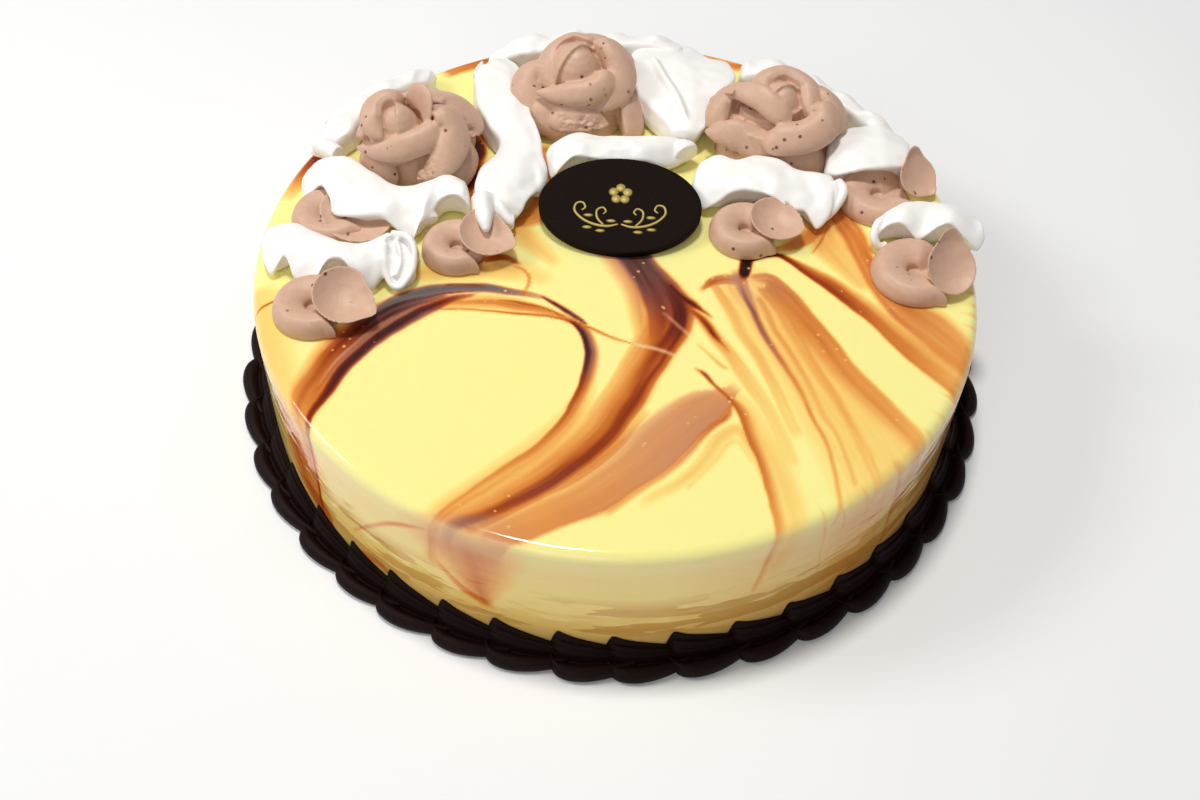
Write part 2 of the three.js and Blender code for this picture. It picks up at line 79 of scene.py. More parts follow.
class Paint:
    """A socket of a material's nodes that sums can be made with, or the material itself at the start."""

    def __init__(self, tree, socket=None):
        self.tree = tree
        self.socket = socket

    def node(self, kind, settings=None, sockets=None, output=0):
        """A node of this kind, with its settings and what goes into its sockets, as one of its outputs."""
        made = self.tree.nodes.new("ShaderNode" + kind)
        for name, value in (settings or {}).items():
            if name == "stops":
                for i, (position, colour) in enumerate(value):
                    stop = made.color_ramp.elements[i] if i < 2 else made.color_ramp.elements.new(position)
                    stop.position = position
                    stop.color = linear(colour)
            else:
                setattr(made, name, value)
        for name, value in (sockets or {}).items():
            if isinstance(value, Paint):
                self.tree.links.new(value.socket, made.inputs[name])
            else:
                made.inputs[name].default_value = value
        return Paint(self.tree, made.outputs[output] if len(made.outputs) else None)

    def sum(self, operation, *values):
        return self.node("Math", {"operation": operation}, dict(enumerate(values)))

    def __add__(self, other):
        return self.sum("ADD", self, other)

    def __radd__(self, other):
        return self.sum("ADD", other, self)

    def __sub__(self, other):
        return self.sum("SUBTRACT", self, other)

    def __rsub__(self, other):
        return self.sum("SUBTRACT", other, self)

    def __mul__(self, other):
        return self.sum("MULTIPLY", self, other)

    def __rmul__(self, other):
        return self.sum("MULTIPLY", other, self)


def mixed(share, a, b, blend="MIX"):
    return share.node("Mix", {"data_type": "RGBA", "blend_type": blend}, {0: share, 6: a, 7: b}, 2)


def ramp(value, low, high, start=0, end=1):
    """What goes from start to end, and no further, while the value goes from low to high."""
    return value.node("MapRange", {}, {"Value": value, 1: low, 2: high, 3: start, 4: end})


def noise(place, scale, detail, roughness=0.5):
    sockets = {"Vector": place, "Scale": scale, "Detail": detail, "Roughness": roughness}
    return place.node("TexNoise", {}, sockets)


def finish(name):
    """A new material with empty nodes, and where a point of its object is."""
    material = bpy.data.materials.new(name)
    material.use_nodes = True
    material.node_tree.nodes.clear()
    paint = Paint(material.node_tree)
    return material, paint, paint.node("TexCoord", {}, {}, 3)


def surface(paint, **sockets):
    names = {name.replace("_", " "): value for name, value in sockets.items()}
    shader = paint.node("BsdfPrincipled", {}, names)
    paint.node("OutputMaterial", {}, {"Surface": shader})


def bump(height, strength, distance):
    return height.node("Bump", {}, {"Height": height, "Strength": strength, "Distance": distance})


def grain(points, size, seed):
    """Smooth noise from -1 to 1 at points, in lumps of about this size."""
    table = np.random.default_rng(seed).uniform(-1, 1, (32, 32, 32))
    cell = np.floor(points / size).astype(int)
    part = points / size - cell
    part = part * part * (3 - 2 * part)
    total = np.zeros(len(points))
    for corner in itertools.product((0, 1), repeat=3):
        weight = np.prod(np.where(np.array(corner) == 1, part, 1 - part), axis=1)
        i, j, k = ((cell + corner) % 32).T
        total += weight * table[i, j, k]
    return total


def through(a, b, c, d, t):
    """The curve from b to c on its way from a to d."""
    return 0.5 * (2 * b + (c - a) * t + (2 * a - 5 * b + 4 * c - d) * t**2 + (3 * b - a - 3 * c + d) * t**3)


def smooth_line(stations, step):
    """Stations joined by a smooth line, as points about one step apart."""
    stations = np.array(stations, float)
    ends = np.vstack([2 * stations[0] - stations[1], stations, 2 * stations[-1] - stations[-2]])
    points = []
    for i in range(1, len(ends) - 2):
        a, b, c, d = ends[i - 1 : i + 3]
        count = max(2, int(np.linalg.norm((c - b)[:3]) / step))
        points.append(through(a, b, c, d, np.linspace(0, 1, count, endpoint=False)[:, None]))
    return np.vstack(points + [stations[-1:]])


def piece(name, points, faces, material, nodes):
    """A smooth mesh in millimetres that rides with the cake and stands for solids of it."""
    mesh = bpy.data.meshes.new(name)
    mesh.from_pydata(np.asarray(points) * MM, [], faces)
    mesh.validate()
    mesh.polygons.foreach_set("use_smooth", [True] * len(mesh.polygons))
    mesh.materials.append(material)
    made = bpy.data.objects.new(name, mesh)
    bpy.context.scene.collection.objects.link(made)
    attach(made, "root")
    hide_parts(*nodes)
    return made


def disc_grid(count):
    """The points of a square grid pressed into a round one, and its outermost points in order."""
    a, b = np.meshgrid(np.linspace(-1, 1, count + 1), np.linspace(-1, 1, count + 1), indexing="ij")
    flat = np.abs(a) > np.abs(b)
    safe_a = np.where(a == 0, 1, a)
    safe_b = np.where(b == 0, 1, b)
    radius = np.where(flat, a, b)
    angle = np.where(flat, math.pi / 4 * b / safe_a, math.pi / 2 - math.pi / 4 * a / safe_b)
    index = np.arange((count + 1) ** 2).reshape(count + 1, count + 1)
    rim = np.concatenate([index[:-1, 0], index[-1, :-1], index[:0:-1, -1], index[0, :0:-1]])
    return radius * np.cos(angle), radius * np.sin(angle), index, rim


x, y, index, rim = disc_grid(TOP_CELLS)
flat_radius = CAKE_RADIUS - EDGE
points = np.stack([x.ravel() * flat_radius, y.ravel() * flat_radius, np.full(x.size, float(CAKE_HEIGHT))], 1)
faces = np.stack([index[:-1, :-1], index[1:, :-1], index[1:, 1:], index[:-1, 1:]], -1).reshape(-1, 4).tolist()
bends = np.linspace(0, math.pi / 2, EDGE_ROWS)[1:]
rows = [(flat_radius + EDGE * math.sin(t), CAKE_HEIGHT - EDGE + EDGE * math.cos(t)) for t in bends]
rows += [(CAKE_RADIUS, z) for z in np.linspace(CAKE_HEIGHT - EDGE, 0, WALL_ROWS)[1:]]
around = points[rim, :2] / flat_radius
last = rim
for radius, z in rows:
    start = len(points)
    points = np.vstack([points, np.column_stack([around * radius, np.full(len(rim), z)])])
    now = np.arange(start, start + len(rim))
    faces += np.stack([last, now, np.roll(now, -1), np.roll(last, -1)], 1).tolist()
    last = now
faces.append(last[::-1].tolist())

# Cocoa ribbons, each with its tones from left to right across, how streaked it is, and its stations: x,
# y, width to either side, or to the left and to the right, how much cocoa there is and, where it isn't
# pure, how milky it is. Less than no cocoa wipes away what lies under the ribbon. The wall is unrolled
# round the top, so it lies beyond the radius of the cake.
RIBBON_STEP = 0.8
STREAK_WIDTH = 1.3
STREAK_LENGTH = 16
SOFT = [(-1, 0), (-0.5, 0.65), (0, 1), (0.5, 0.65), (1, 0)]
HALO = [(-1, 0), (-0.75, 0.36), (-0.4, 0.78), (-0.1, 1), (0.6, 0.95), (1, 0.4)]
EVEN = [(-1, 0.2), (-0.6, 0.9), (0, 1), (0.6, 0.9), (1, 0.2)]
LINE = [(-1, 0.5), (0, 1), (1, 0.5)]
CORE = [(-1, 0), (-0.8, 0.35), (-0.5, 0.9), (-0.2, 1), (-0.05, 0.9), (0.4, 0.75), (1, 0.3)]
EASTWARD = [(-1, 0), (-0.8, 0.35), (-0.5, 0.7), (-0.15, 1), (0, 0.95), (1, 0.9)]
WESTWARD = [(-1, 0.9), (0, 0.9), (0.1, 1), (0.35, 1), (0.6, 0.8), (0.8, 0.5), (1, 0.05)]
BIG = [
    (-1, 0.25), (-0.75, 0.7), (-0.4, 0.93), (0, 1), (0.16, 0.9), (0.28, 0.74), (0.5, 0.58), (0.78, 0.44),
    (0.92, 0.28), (1, 0),
]
PATCH = [(-1, 0), (-0.9, 0.55), (-0.78, 1.02), (-0.5, 1), (0, 0.96), (0.5, 0.9), (0.76, 0.66), (1, 0)]
BESIDE = [(-1, 0), (-0.75, 0.5), (-0.4, 0.85), (-0.1, 1), (0, 1), (1, 0.85)]
RIBBONS = [
    (SOFT, 0.1, [
        (-99, -20, 9, 0.2), (-95, -34, 10, 0.24), (-90, -48, 9, 0.24), (-86, -58, 8, 0.24),
        (-85, -70, 7, 0.2), (-90, -84, 6, 0.15),
    ]),
    (HALO, 0.2, [
        (-106, -92, (2, 2.6), 0.4, 0.2), (-99, -84, (5, 3.6), 0.42, 0.5), (-90, -76, (6.6, 4.4), 0.44, 0.5),
        (-84, -71, (5.6, 4.4), 0.46, 0.2), (-81.6, -67, (5, 4), 0.48), (-80, -59, (5.6, 4.4), 0.53),
        (-77.8, -50, (6.4, 4.6), 0.62), (-74.4, -41.5, (6.8, 4.8), 0.73), (-70, -34, (6.8, 5), 0.84, 0.1),
        (-65.6, -27.6, (5.6, 5.2), 0.9, 0.25), (-60.5, -22.6, (3.8, 5), 0.88, 0.5),
        (-54, -19, (2.4, 4), 0.78, 0.6), (-48, -17, (1.6, 2.6), 0.6, 0.6),
    ]),
    (EVEN, 0.12, [
        (-66, -26, (2, 2.2), 0.66, 0.8), (-60, -20.6, (2.8, 2.7), 0.76, 1),
        (-54.5, -17.2, (2.5, 2.6), 0.77, 1), (-49, -15.3, (2.3, 2.4), 0.77, 1),
        (-43, -14.4, (2.1, 2.2), 0.76, 1), (-36, -14.3, (1.9, 2), 0.75, 1), (-30, -14.8, (1.6, 1.8), 0.68, 1),
        (-25, -15.5, (1.3, 1.4), 0.54, 1), (-20, -16.8, 1, 0.36, 1),
    ]),
    (LINE, 0.3, [
        (-60, -23, 0.7, 0.8, 0.7), (-54, -19.8, 0.9, 0.88, 0.7), (-47.5, -16.9, 0.8, 0.86, 0.6),
        (-40, -15.6, 0.5, 0.7, 0.7),
    ]),
    (LINE, 0, [
        (-47, -13.6, 0.6, 0.9, 0.5), (-45, -13.4, 0.7, 0.9, 0.5), (-39, -13.4, 0.7, 0.86, 0.5),
        (-37, -13.6, 0.5, 0.8, 0.6),
    ]),
    (CORE, 0.12, [
        (-104, -91.6, (1.2, 0.5), 0.7), (-97, -85.6, (2, 0.5), 0.76), (-88, -78, (1.8, 0.5), 0.7),
        (-81.6, -72.6, (2, 0.5), 0.76), (-77.8, -68.4, (2.4, 0.6), 0.84), (-75.8, -61.6, (2.6, 0.7), 0.86),
        (-73.2, -54.8, (3.4, 0.9), 0.92), (-70.2, -47.6, (4, 1), 0.97, 0.2),
        (-66.4, -40.8, (4.4, 1.2), 0.98, 0.35), (-61.3, -34.2, (4.6, 1.4), 0.98, 0.45),
        (-55.4, -28, (4.6, 1.6), 0.97, 0.5), (-49.6, -22.8, (3.8, 1.6), 0.92, 0.5),
        (-44.6, -19.2, (2.6, 1.2), 0.8, 0.5), (-40, -17.4, (1.4, 0.8), 0.55, 0.6),
    ]),
    (LINE, 0.2, [
        (-76.3, -52.1, 0.4, -0.12, 0.5), (-73.6, -45, 0.6, -0.3, 0.8), (-69.2, -37.3, 0.7, -0.34, 0.8),
        (-64.4, -31, 0.7, -0.3, 0.8), (-60.4, -27, 0.5, -0.15, 0.8),
    ]),
    (SOFT, 0.25, [
        (-56, -23.8, 2, 0.44, 0.6), (-49, -21, 3, 0.44, 0.1), (-42, -19.9, (3.4, 3.2), 0.45),
        (-34, -19.4, (3.4, 3.2), 0.5), (-27, -20, 3, 0.56), (-22, -21, (2.2, 2.6), 0.54),
        (-17, -22.9, (1.4, 1.9), 0.48), (-11.5, -25, (1, 1.2), 0.5),
    ]),
    (LINE, 0.2, [
        (-48, -20.2, 0.5, 0.45), (-37, -19, 0.5, 0.5), (-30, -18.5, 0.6, 0.62), (-25, -19.4, (0.9, 0.7), 0.7),
        (-20, -20.8, (0.7, 0.6), 0.62), (-14, -23.6, 0.6, 0.6),
    ]),
    (LINE, 0.2, [
        (-52, -23.4, 0.5, 0.45, 0.2), (-44, -22.4, 0.5, 0.52), (-35, -22.6, (0.6, 0.5), 0.54),
        (-26, -23.2, (0.8, 0.5), 0.62), (-19, -23.9, (0.8, 0.5), 0.6), (-12, -25.2, (0.8, 0.5), 0.64),
    ]),
    (LINE, 0.1, [
        (-20.4, -16.6, 0.5, 0.9, 0.4), (-17, -19, (0.9, 0.8), 0.99, 0.4), (-13, -22.2, (1, 0.9), 0.99, 0.4),
        (-9.6, -24.8, (0.8, 0.7), 0.9, 0.4), (-8, -26, 0.5, 0.7, 0.4),
    ]),
    (SOFT, 0.3, [
        (-6, -44, 2.5, 0.14), (-7.5, -54, 4.4, 0.26), (-12, -63, 5.6, 0.32), (-19, -72, 6.4, 0.34),
        (-27, -80, 6.4, 0.36), (-36, -88, 6.4, 0.36), (-43, -96, 6, 0.34), (-50, -108, 5, 0.24),
    ]),
    (EASTWARD, 0.15, [
        (-14, -25, (1, 0.4), 0.5), (-11.4, -26.4, (2.2, 0.4), 0.88, 0.1), (-8.9, -30, (3.4, 0.4), 0.94, 0.5),
        (-7.5, -35.5, (3.8, 0.4), 0.93, 0.5), (-7.6, -41.5, (4, 0.4), 0.86, 0.35),
        (-8.6, -48, (4, 0.4), 0.74), (-10.6, -54.5, (4, 0.4), 0.64), (-13.8, -61, (4, 0.4), 0.56),
        (-18.8, -68, (4, 0.4), 0.5), (-25.7, -75, (4, 0.4), 0.46), (-32.9, -81.6, (4, 0.4), 0.44),
        (-39, -88, (4, 0.4), 0.42), (-44, -94.5, (4, 0.5), 0.4), (-52, -108, (4, 0.6), 0.3),
    ]),
    (BIG, 0.24, [
        (3, 9, (5, 8), 0.89, 0.7), (7.4, 0, (3.6, 6.6), 0.9, 0.7), (11.4, -6.5, (3.6, 7.2), 0.9, 0.5),
        (14.6, -12, (4, 8.4), 0.89, 0.3), (17.2, -18, (5, 10.4), 0.87, 0.1),
        (17.4, -24, (4.4, 11.4), 0.85, 0.05), (15.2, -30.4, (4.2, 10.4), 0.81), (12.4, -37, (3.8, 9.6), 0.77),
        (9.6, -43, (3.6, 9.2), 0.76), (5.8, -51, (3.8, 8.6), 0.76), (0.9, -60.3, (3.8, 8.4), 0.77),
        (-5, -69, (3.6, 8.2), 0.79), (-11, -75.4, (3.4, 8), 0.77), (-16.6, -81.3, (3.2, 7.6), 0.74),
        (-23.6, -86, (3.2, 7.4), 0.7), (-31, -90.4, (3.2, 7), 0.62), (-37, -93.8, (3.2, 6), 0.57),
        (-40.5, -98.5, (2.6, 4.6), 0.44, 0.3), (-43, -103, (2, 3), 0.3, 0.6),
    ]),
    (EVEN, 0.2, [
        (1, 9, 8, 0.82, 0.75), (4.6, 0, (5.4, 5.6), 0.84, 0.65), (8, -6.4, (5.4, 5.6), 0.84, 0.45),
        (10.8, -12.6, 5.4, 0.8, 0.25), (12.6, -19, 5, 0.74, 0.05), (12.4, -26, 4.4, 0.64),
        (11.2, -33, 3, 0.54),
    ]),
    (SOFT, 0.15, [
        (2, 7, 6, 0.84, 0.8), (6, -2, 5, 0.86, 0.75), (8.8, -9, 5, 0.84, 0.5), (11.6, -16, 5, 0.78, 0.25),
        (12.6, -23, 5, 0.71, 0.05), (12, -30, 4.4, 0.61), (10.5, -37, 3, 0.47),
    ]),
    (SOFT, 0.1, [
        (-2, 3, 5, 0.44, 0.8), (2.5, -6, 5, 0.44, 0.6), (6, -14, 4.4, 0.44, 0.4), (7.4, -23, 4, 0.38, 0.1),
        (7.6, -31, 3, 0.24), (7, -38, 2, 0.1),
    ]),
    (EVEN, 0.2, [
        (8.4, -56, 1.4, 0.24), (3.5, -64, 2.2, 0.42), (-2.6, -71.4, 2.6, 0.46), (-9, -77.4, 3, 0.48, 0.1),
        (-17, -83.2, 3, 0.48, 0.1), (-26, -89, 3, 0.48), (-34, -95, 3, 0.44),
    ]),
    (PATCH, 0.1, [
        (31, -46.8, (2.4, 2), 0.36, 0.8), (28, -49.8, (4.8, 4.6), 0.48, 0.8), (23.2, -54, (7, 7.2), 0.5, 0.8),
        (17.5, -60.3, (7.6, 8.8), 0.49, 0.85), (11.6, -67.6, (7.6, 9.2), 0.48, 0.8),
        (5, -75, (7.2, 8), 0.47, 0.6), (-2, -81, (7, 6.6), 0.46, 0.4), (-9, -85.8, (6.4, 5.4), 0.47, 0.3),
        (-17, -90.4, (6, 5), 0.46, 0.2), (-25.5, -95.6, (5.6, 4.6), 0.45, 0.3), (-29, -101, 5, 0.4, 0.6),
        (-31, -106, 4, 0.3, 0.8),
    ]),
    (SOFT, 0.1, [
        (-36, -92, (20, 21), 0.34, 0.7), (-36, -99, (19.6, 20), 0.42, 0.9),
        (-36, -105, (17, 16.6), 0.46, 0.6), (-37, -112, (13.6, 11.4), 0.48, 0.2),
        (-38.2, -118.6, (9.4, 7.6), 0.5), (-38.8, -125, (4, 3.2), 0.48),
    ]),
    (SOFT, 0.4, [
        (-50, -107, 2, 0.24, 0.3), (-47.4, -113, 2, 0.4, 0.2), (-45, -118, 2.4, 0.5),
        (-41.6, -122.6, 2.6, 0.55), (-38, -125.6, 2, 0.5),
    ]),
    (LINE, 0.2, [
        (-84, -98.6, 0.6, 0.3, 0.3), (-71.7, -97.3, 0.8, 0.4, 0.3), (-60, -96, 0.9, 0.5, 0.2),
        (-51.8, -96.1, 0.9, 0.46, 0.2), (-44, -97.2, 0.6, 0.4, 0.2),
    ]),
    (EVEN, 0.4, [
        (-88.8, -107.6, 2, 0.34, 0.2), (-82, -110.6, 2.2, 0.4, 0.2), (-78.4, -114.6, 1.6, 0.42, 0.1),
        (-76.8, -122, 1, 0.4),
    ]),
    (EVEN, 0.2, [
        (-90, -54, 9, 0.26), (-95, -65, 10.4, 0.5), (-100, -72, 10, 0.52), (-103, -78.5, 8.2, 0.5),
        (-102.7, -85.4, 6.1, 0.46), (-101, -91.4, 4.6, 0.48), (-103.4, -98, 1.6, 0.46),
    ]),
    (LINE, 0.3, [
        (-108, -54, 0.7, 0.4, 0.2), (-106, -61, 0.8, 0.54), (-110, -69, 0.8, 0.58), (-111, -76.4, 0.9, 0.6),
        (-108.5, -83.5, 0.9, 0.64), (-105.6, -90.7, 0.9, 0.66), (-104.6, -97, 0.8, 0.6),
    ]),
    (LINE, 0.2, [
        (30.8, -51.6, 0.8, 0.45, 0.4), (29.4, -56.2, 1.4, 0.62, 0.1), (26.4, -59.4, 1.3, 0.56, 0.1),
        (22.5, -64.8, 1.2, 0.46, 0.2), (16.5, -72.4, 1.2, 0.4, 0.3), (8.4, -80.8, 1.2, 0.36, 0.2),
        (0, -87.4, 1.2, 0.34, 0.1),
    ]),
    (SOFT, 0.2, [
        (10, -84, 2, 0.14), (19, -76.5, 2.4, 0.24), (24.6, -69, 2.6, 0.24), (28.6, -63, 2.8, 0.28),
        (33, -60.5, 2.6, 0.28), (36, -66, 1.8, 0.28), (38, -74, 1.4, 0.2),
    ]),
    (LINE, 0.1, [
        (20, -79, 0.8, 0.16), (26, -71, 0.9, 0.16), (30, -65.6, 1, 0.18), (33, -64.6, 0.8, 0.16),
        (35.4, -70, 0.6, 0.14),
    ]),
    (SOFT, 0.3, [
        (31, -46, 2.4, 0.14), (36, -56, 4, 0.21), (41, -68, 5, 0.22), (44.4, -80, 5, 0.21),
        (46.4, -93, 5, 0.18), (48, -106, 4, 0.14),
    ]),
    (EASTWARD, 0.14, [
        (22, -40.2, (0.5, 0.4), 0.54, 0.1), (24, -42, (1.1, 0.6), 0.81, 0.2),
        (26.8, -45.4, (0.9, 0.5), 0.72, 0.1), (29.4, -48.8, (1.4, 0.5), 0.68, 0.1),
        (31.8, -53, (3, 0.5), 0.63), (33.8, -58, (3.8, 0.5), 0.59), (35.8, -64, (4, 0.5), 0.56),
        (37.6, -71, (4, 0.5), 0.52), (39.2, -78.5, (4, 0.5), 0.49), (40.6, -86, (3.6, 0.5), 0.45),
        (41.8, -94, (3.2, 0.5), 0.41), (43.4, -103, (2.6, 0.5), 0.36), (45.4, -114, (2, 0.5), 0.27),
    ]),
    (LINE, 0.3, [
        (15, -10, 1.2, 0.9, 0.2), (18.4, -14.4, (1.5, 1.4), 0.97, 0.1), (21, -16.6, (1.6, 1.3), 0.98),
        (23.4, -18.6, (0.9, 0.8), 0.88), (26, -21, 0.5, 0.6),
    ]),
    (LINE, 0.3, [
        (19.6, -18, (1.2, 1), 0.7), (22.8, -21, (1.2, 1), 0.84, 0.1), (25.4, -24.2, (1.4, 1.1), 0.92, 0.4),
        (27.4, -27.6, (1.3, 1.1), 0.86, 0.4), (29.4, -31, 0.7, 0.6, 0.2), (31, -34, 0.5, 0.4),
    ]),
    (EVEN, 0.5, [
        (21, -19, 1.2, 0.42), (25, -24, (2.2, 2), 0.41), (29, -31, (2.6, 2.4), 0.36), (33.4, -39, 2.6, 0.29),
        (38, -48, 2.6, 0.24), (42.5, -58, 2.4, 0.19), (46, -70, 2.4, 0.14),
    ]),
    (LINE, 0.2, [(22.6, -31.4, 0.4, 0.3), (28, -38, 0.6, 0.42), (29.8, -39.4, 0.5, 0.4)]),
    (EVEN, 0.5, [
        (35.5, -6.4, (8.6, 8), 0.26, 0.3), (38, -11, (9.4, 9), 0.26, 0.2),
        (43, -20, (10.8, 10.4), 0.26, 0.05), (50.5, -34, 11, 0.24), (58.5, -50, 12.6, 0.22),
        (64, -62, 14.4, 0.19), (69, -75, 14.6, 0.17), (76, -92, 14, 0.14), (84, -110, 12, 0.1),
    ]),
    (WESTWARD, 0.3, [
        (38.4, -4.2, (0.5, 3), 0.43, 0.5), (43.2, -3.8, (0.5, 6.4), 0.52, 0.4),
        (47.4, -7.2, (0.5, 10), 0.55, 0.3), (51.5, -13.6, (0.5, 11), 0.53, 0.1),
        (55.6, -21, (0.5, 10.6), 0.52), (60.3, -29, (0.5, 10), 0.49), (65.6, -38.4, (0.5, 9.6), 0.46),
        (72.6, -48, (0.5, 9.6), 0.43), (78.5, -56.4, (0.5, 9.6), 0.38), (84.6, -66, (0.5, 9), 0.31),
        (92, -79, (0.5, 9), 0.22),
    ]),
    (EVEN, 0.4, [
        (41, -9, 2, 0.45, 0.4), (44.6, -17, 2.2, 0.43, 0.1), (49.6, -28, 2, 0.4), (55, -40, 2, 0.37),
        (60.6, -53, 2, 0.34), (65, -66, 2, 0.29), (69.5, -81, 2, 0.24),
    ]),
    (EVEN, 0.4, [
        (39.6, -13, 1.4, 0.37, 0.3), (43.4, -24, 1.4, 0.35), (48.8, -36, 1.4, 0.34), (54, -50, 1.4, 0.3),
        (58.4, -62, 1.2, 0.29), (61.6, -76, 1.2, 0.24),
    ]),
    (EVEN, 0.3, [
        (24.4, -10.6, 1, 0.46), (26.8, -8, 2, 0.58, 0.1), (30, -6.6, 2.6, 0.54, 0.3),
        (33.6, -6.2, 2.4, 0.48, 0.7),
    ]),
    (EVEN, 0.4, [
        (27.4, -9.4, 1.6, 0.4, 0.1), (30.6, -16, 2.2, 0.37), (34.4, -25, 2.2, 0.34), (39.2, -36, 2, 0.29),
        (43.6, -48, 2, 0.24), (47.5, -60, 2, 0.19),
    ]),
    (EVEN, 0.1, [
        (34.6, -4.6, 2.6, 0.52, 1), (35.6, -9.6, 2.4, 0.5, 1), (37, -15, 1.8, 0.5, 0.9),
        (38.4, -20, 1.2, 0.4, 0.8),
    ]),
    (LINE, 0.12, [
        (35, -8, (0.9, 0.7), 0.6, 0.9), (36.2, -14, (1, 0.9), 0.78, 0.6), (38.4, -20, (1.2, 1.1), 0.76, 0.5),
        (41, -27, (1.3, 1.1), 0.72, 0.5), (44.2, -34.6, (1.3, 1.1), 0.64, 0.3),
        (47.6, -42, (1.2, 1.1), 0.55, 0.1), (50.6, -49, (1.1, 1), 0.48), (53.2, -57.4, 1, 0.44),
        (55.6, -67, (1, 0.9), 0.4), (57.2, -77, 0.9, 0.36), (58.8, -89, 0.8, 0.28),
    ]),
    (EVEN, 0, [(37.4, 5, 2.2, 1.1), (36.8, 0, 2.2, 1.1), (36, -4, 1.9, 1.1), (35.8, -5, 1.4, 0.9, 0.3)]),
    (EVEN, 0.3, [
        (58, 34, 8, 0.39), (59.5, 22, (8, 7), 0.37), (61, 11, 7, 0.34), (65, 2, (4.6, 5.4), 0.29),
        (70, -6, (3, 4), 0.24),
    ]),
    (EVEN, 0.3, [
        (62, 34, 5, 0.5), (65, 23, (4, 5), 0.57), (69, 12, (4, 5), 0.55), (71.5, 2, (3, 4.6), 0.55),
        (74, -7, 4, 0.54), (79, -15, (7, 5), 0.54, 0.1), (85, -22, (9, 6), 0.5, 0.15),
        (91, -29, (8, 7), 0.47, 0.1), (97, -36, (6, 7), 0.42), (105, -42, (5, 6), 0.32), (112, -46, 4, 0.2),
        (120, -50, 2, 0.08),
    ]),
    (EVEN, 0.3, [
        (46, 7.4, 1.2, 0.42), (50.6, 9, (2.8, 2.6), 0.52), (55.6, 13, 3.4, 0.52), (60, 20, 3.4, 0.52),
        (63, 28, 3, 0.5),
    ]),
    (LINE, 0.1, [
        (56, 6, 0.4, 0.5), (58.6, 10.6, (0.7, 0.6), 0.6), (61, 16, (0.6, 0.5), 0.6), (63, 20, 0.4, 0.5),
    ]),
    (BESIDE, 0.22, [
        (37.2, 0.6, 0.6, 0.88), (41.2, 3.4, 0.8, 0.88), (45.6, 4.4, (1.2, 1), 0.88),
        (49.2, 2.2, (2, 1), 0.85), (53.4, -2, (3.8, 1), 0.81), (59, -8, (5.4, 1), 0.76),
        (65, -14.6, (6.4, 1), 0.68), (70.3, -20.6, (7.4, 0.7), 0.6), (76, -28.6, (9.6, 0.7), 0.55),
        (81.4, -35, (10.4, 0.8), 0.48), (87, -41, (10.4, 0.8), 0.42), (92.6, -46.6, (10, 0.8), 0.39),
        (101, -54, (8, 0.8), 0.3), (108, -59, (5, 0.8), 0.2), (116, -64, (2.4, 0.8), 0.08),
    ]),
    (LINE, 0, [
        (3, -31.8, 0.4, -0.3, 0.9), (7.6, -33.2, 0.55, -0.6, 0.9), (13, -34.4, 0.6, -0.6, 0.9),
        (19.4, -37.2, 0.4, -0.4, 0.9),
    ]),
    (LINE, 0, [
        (-9.6, -26, 0.6, 0.6), (-4, -28.8, 0.6, 0.6), (0.6, -31, 0.55, 0.56), (5, -32.6, 0.4, 0.5, 0.2),
    ]),
    (LINE, 0, [
        (13.4, -20.2, 0.35, -0.3, 0.6), (17.5, -25, 0.45, -0.5, 0.6), (21.4, -29.3, 0.35, -0.35, 0.6),
    ]),
    (LINE, 0.1, [(-100, -29.5, 0.5, 0.6), (-95.6, -25, 0.55, 0.7), (-90, -20, 0.5, 0.66)]),
    (SOFT, 0.2, [
        (-66, -10, 3, 0.2), (-56, -9.6, 4, 0.3), (-46, -8.4, 5, 0.32), (-36, -7, 5.4, 0.32),
        (-28, -7, 5, 0.26), (-20, -9, 4, 0.14),
    ]),
    (EVEN, 0.2, [
        (-41, -5.6, 0.8, 0.4), (-37, -3.4, (1.8, 1.6), 0.66), (-32, -2.2, (1.7, 1.5), 0.66),
        (-28.4, -3.8, 1, 0.5),
    ]),
    (EVEN, 0.2, [
        (-29.4, -5, 0.8, 0.4), (-26, -7, 0.8, 0.46), (-24.6, -11, 0.8, 0.44), (-25.8, -16, 0.7, 0.36),
    ]),
    (EVEN, 0.3, [
        (-56, 81, (4, 3), 0.5), (-47, 88, (5, 4), 0.6), (-38, 94, (5, 4), 0.75), (-30, 99, (5, 4), 0.8),
        (-25, 106, (3, 2.6), 0.5), (-23, 114, (1.4, 1.2), 0.2),
    ]),
    (LINE, 0.3, [
        (-46, 80, 1, 0.6), (-40, 87, 2, 0.7), (-33, 93, 2.4, 0.88), (-26, 99, 3, 0.85), (-23, 105, 1.4, 0.5),
        (-22, 112, 0.8, 0.2),
    ]),
    (EVEN, 0.3, [
        (20, 99, 3, 0.5), (30, 94, 4, 0.42), (36, 92, (3, 4), 0.5), (42, 94, 2, 0.7), (46, 98, 1.4, 0.5),
        (49, 104, 0.8, 0.2),
    ]),
    # Deep cocoa beside the left rose: brown glaze, made darker still as painted shade of the rose.
    (EVEN, 0.3, [
        (-47, 54, 4, 0.84), (-45, 43, 4.4, 0.9), (-44, 32, 4.4, 0.88), (-41, 22, 4, 0.7), (-32, 14, 5, 0.5),
        (-24, 18, 5, 0.5), (-22, 30, 4, 0.45), (-24, 46, 5, 0.5),
    ]),
    (SOFT, 0.2, [(-30, 10, 6, 0.34), (-24, 4, 5, 0.3), (-18, -2, 3, 0.2)]),
    (EVEN, 0.2, [(-97, 20, 3, 0.24), (-94, 32, 4, 0.7), (-89, 42, 4, 0.8), (-84, 50, 4, 0.6)]),
]
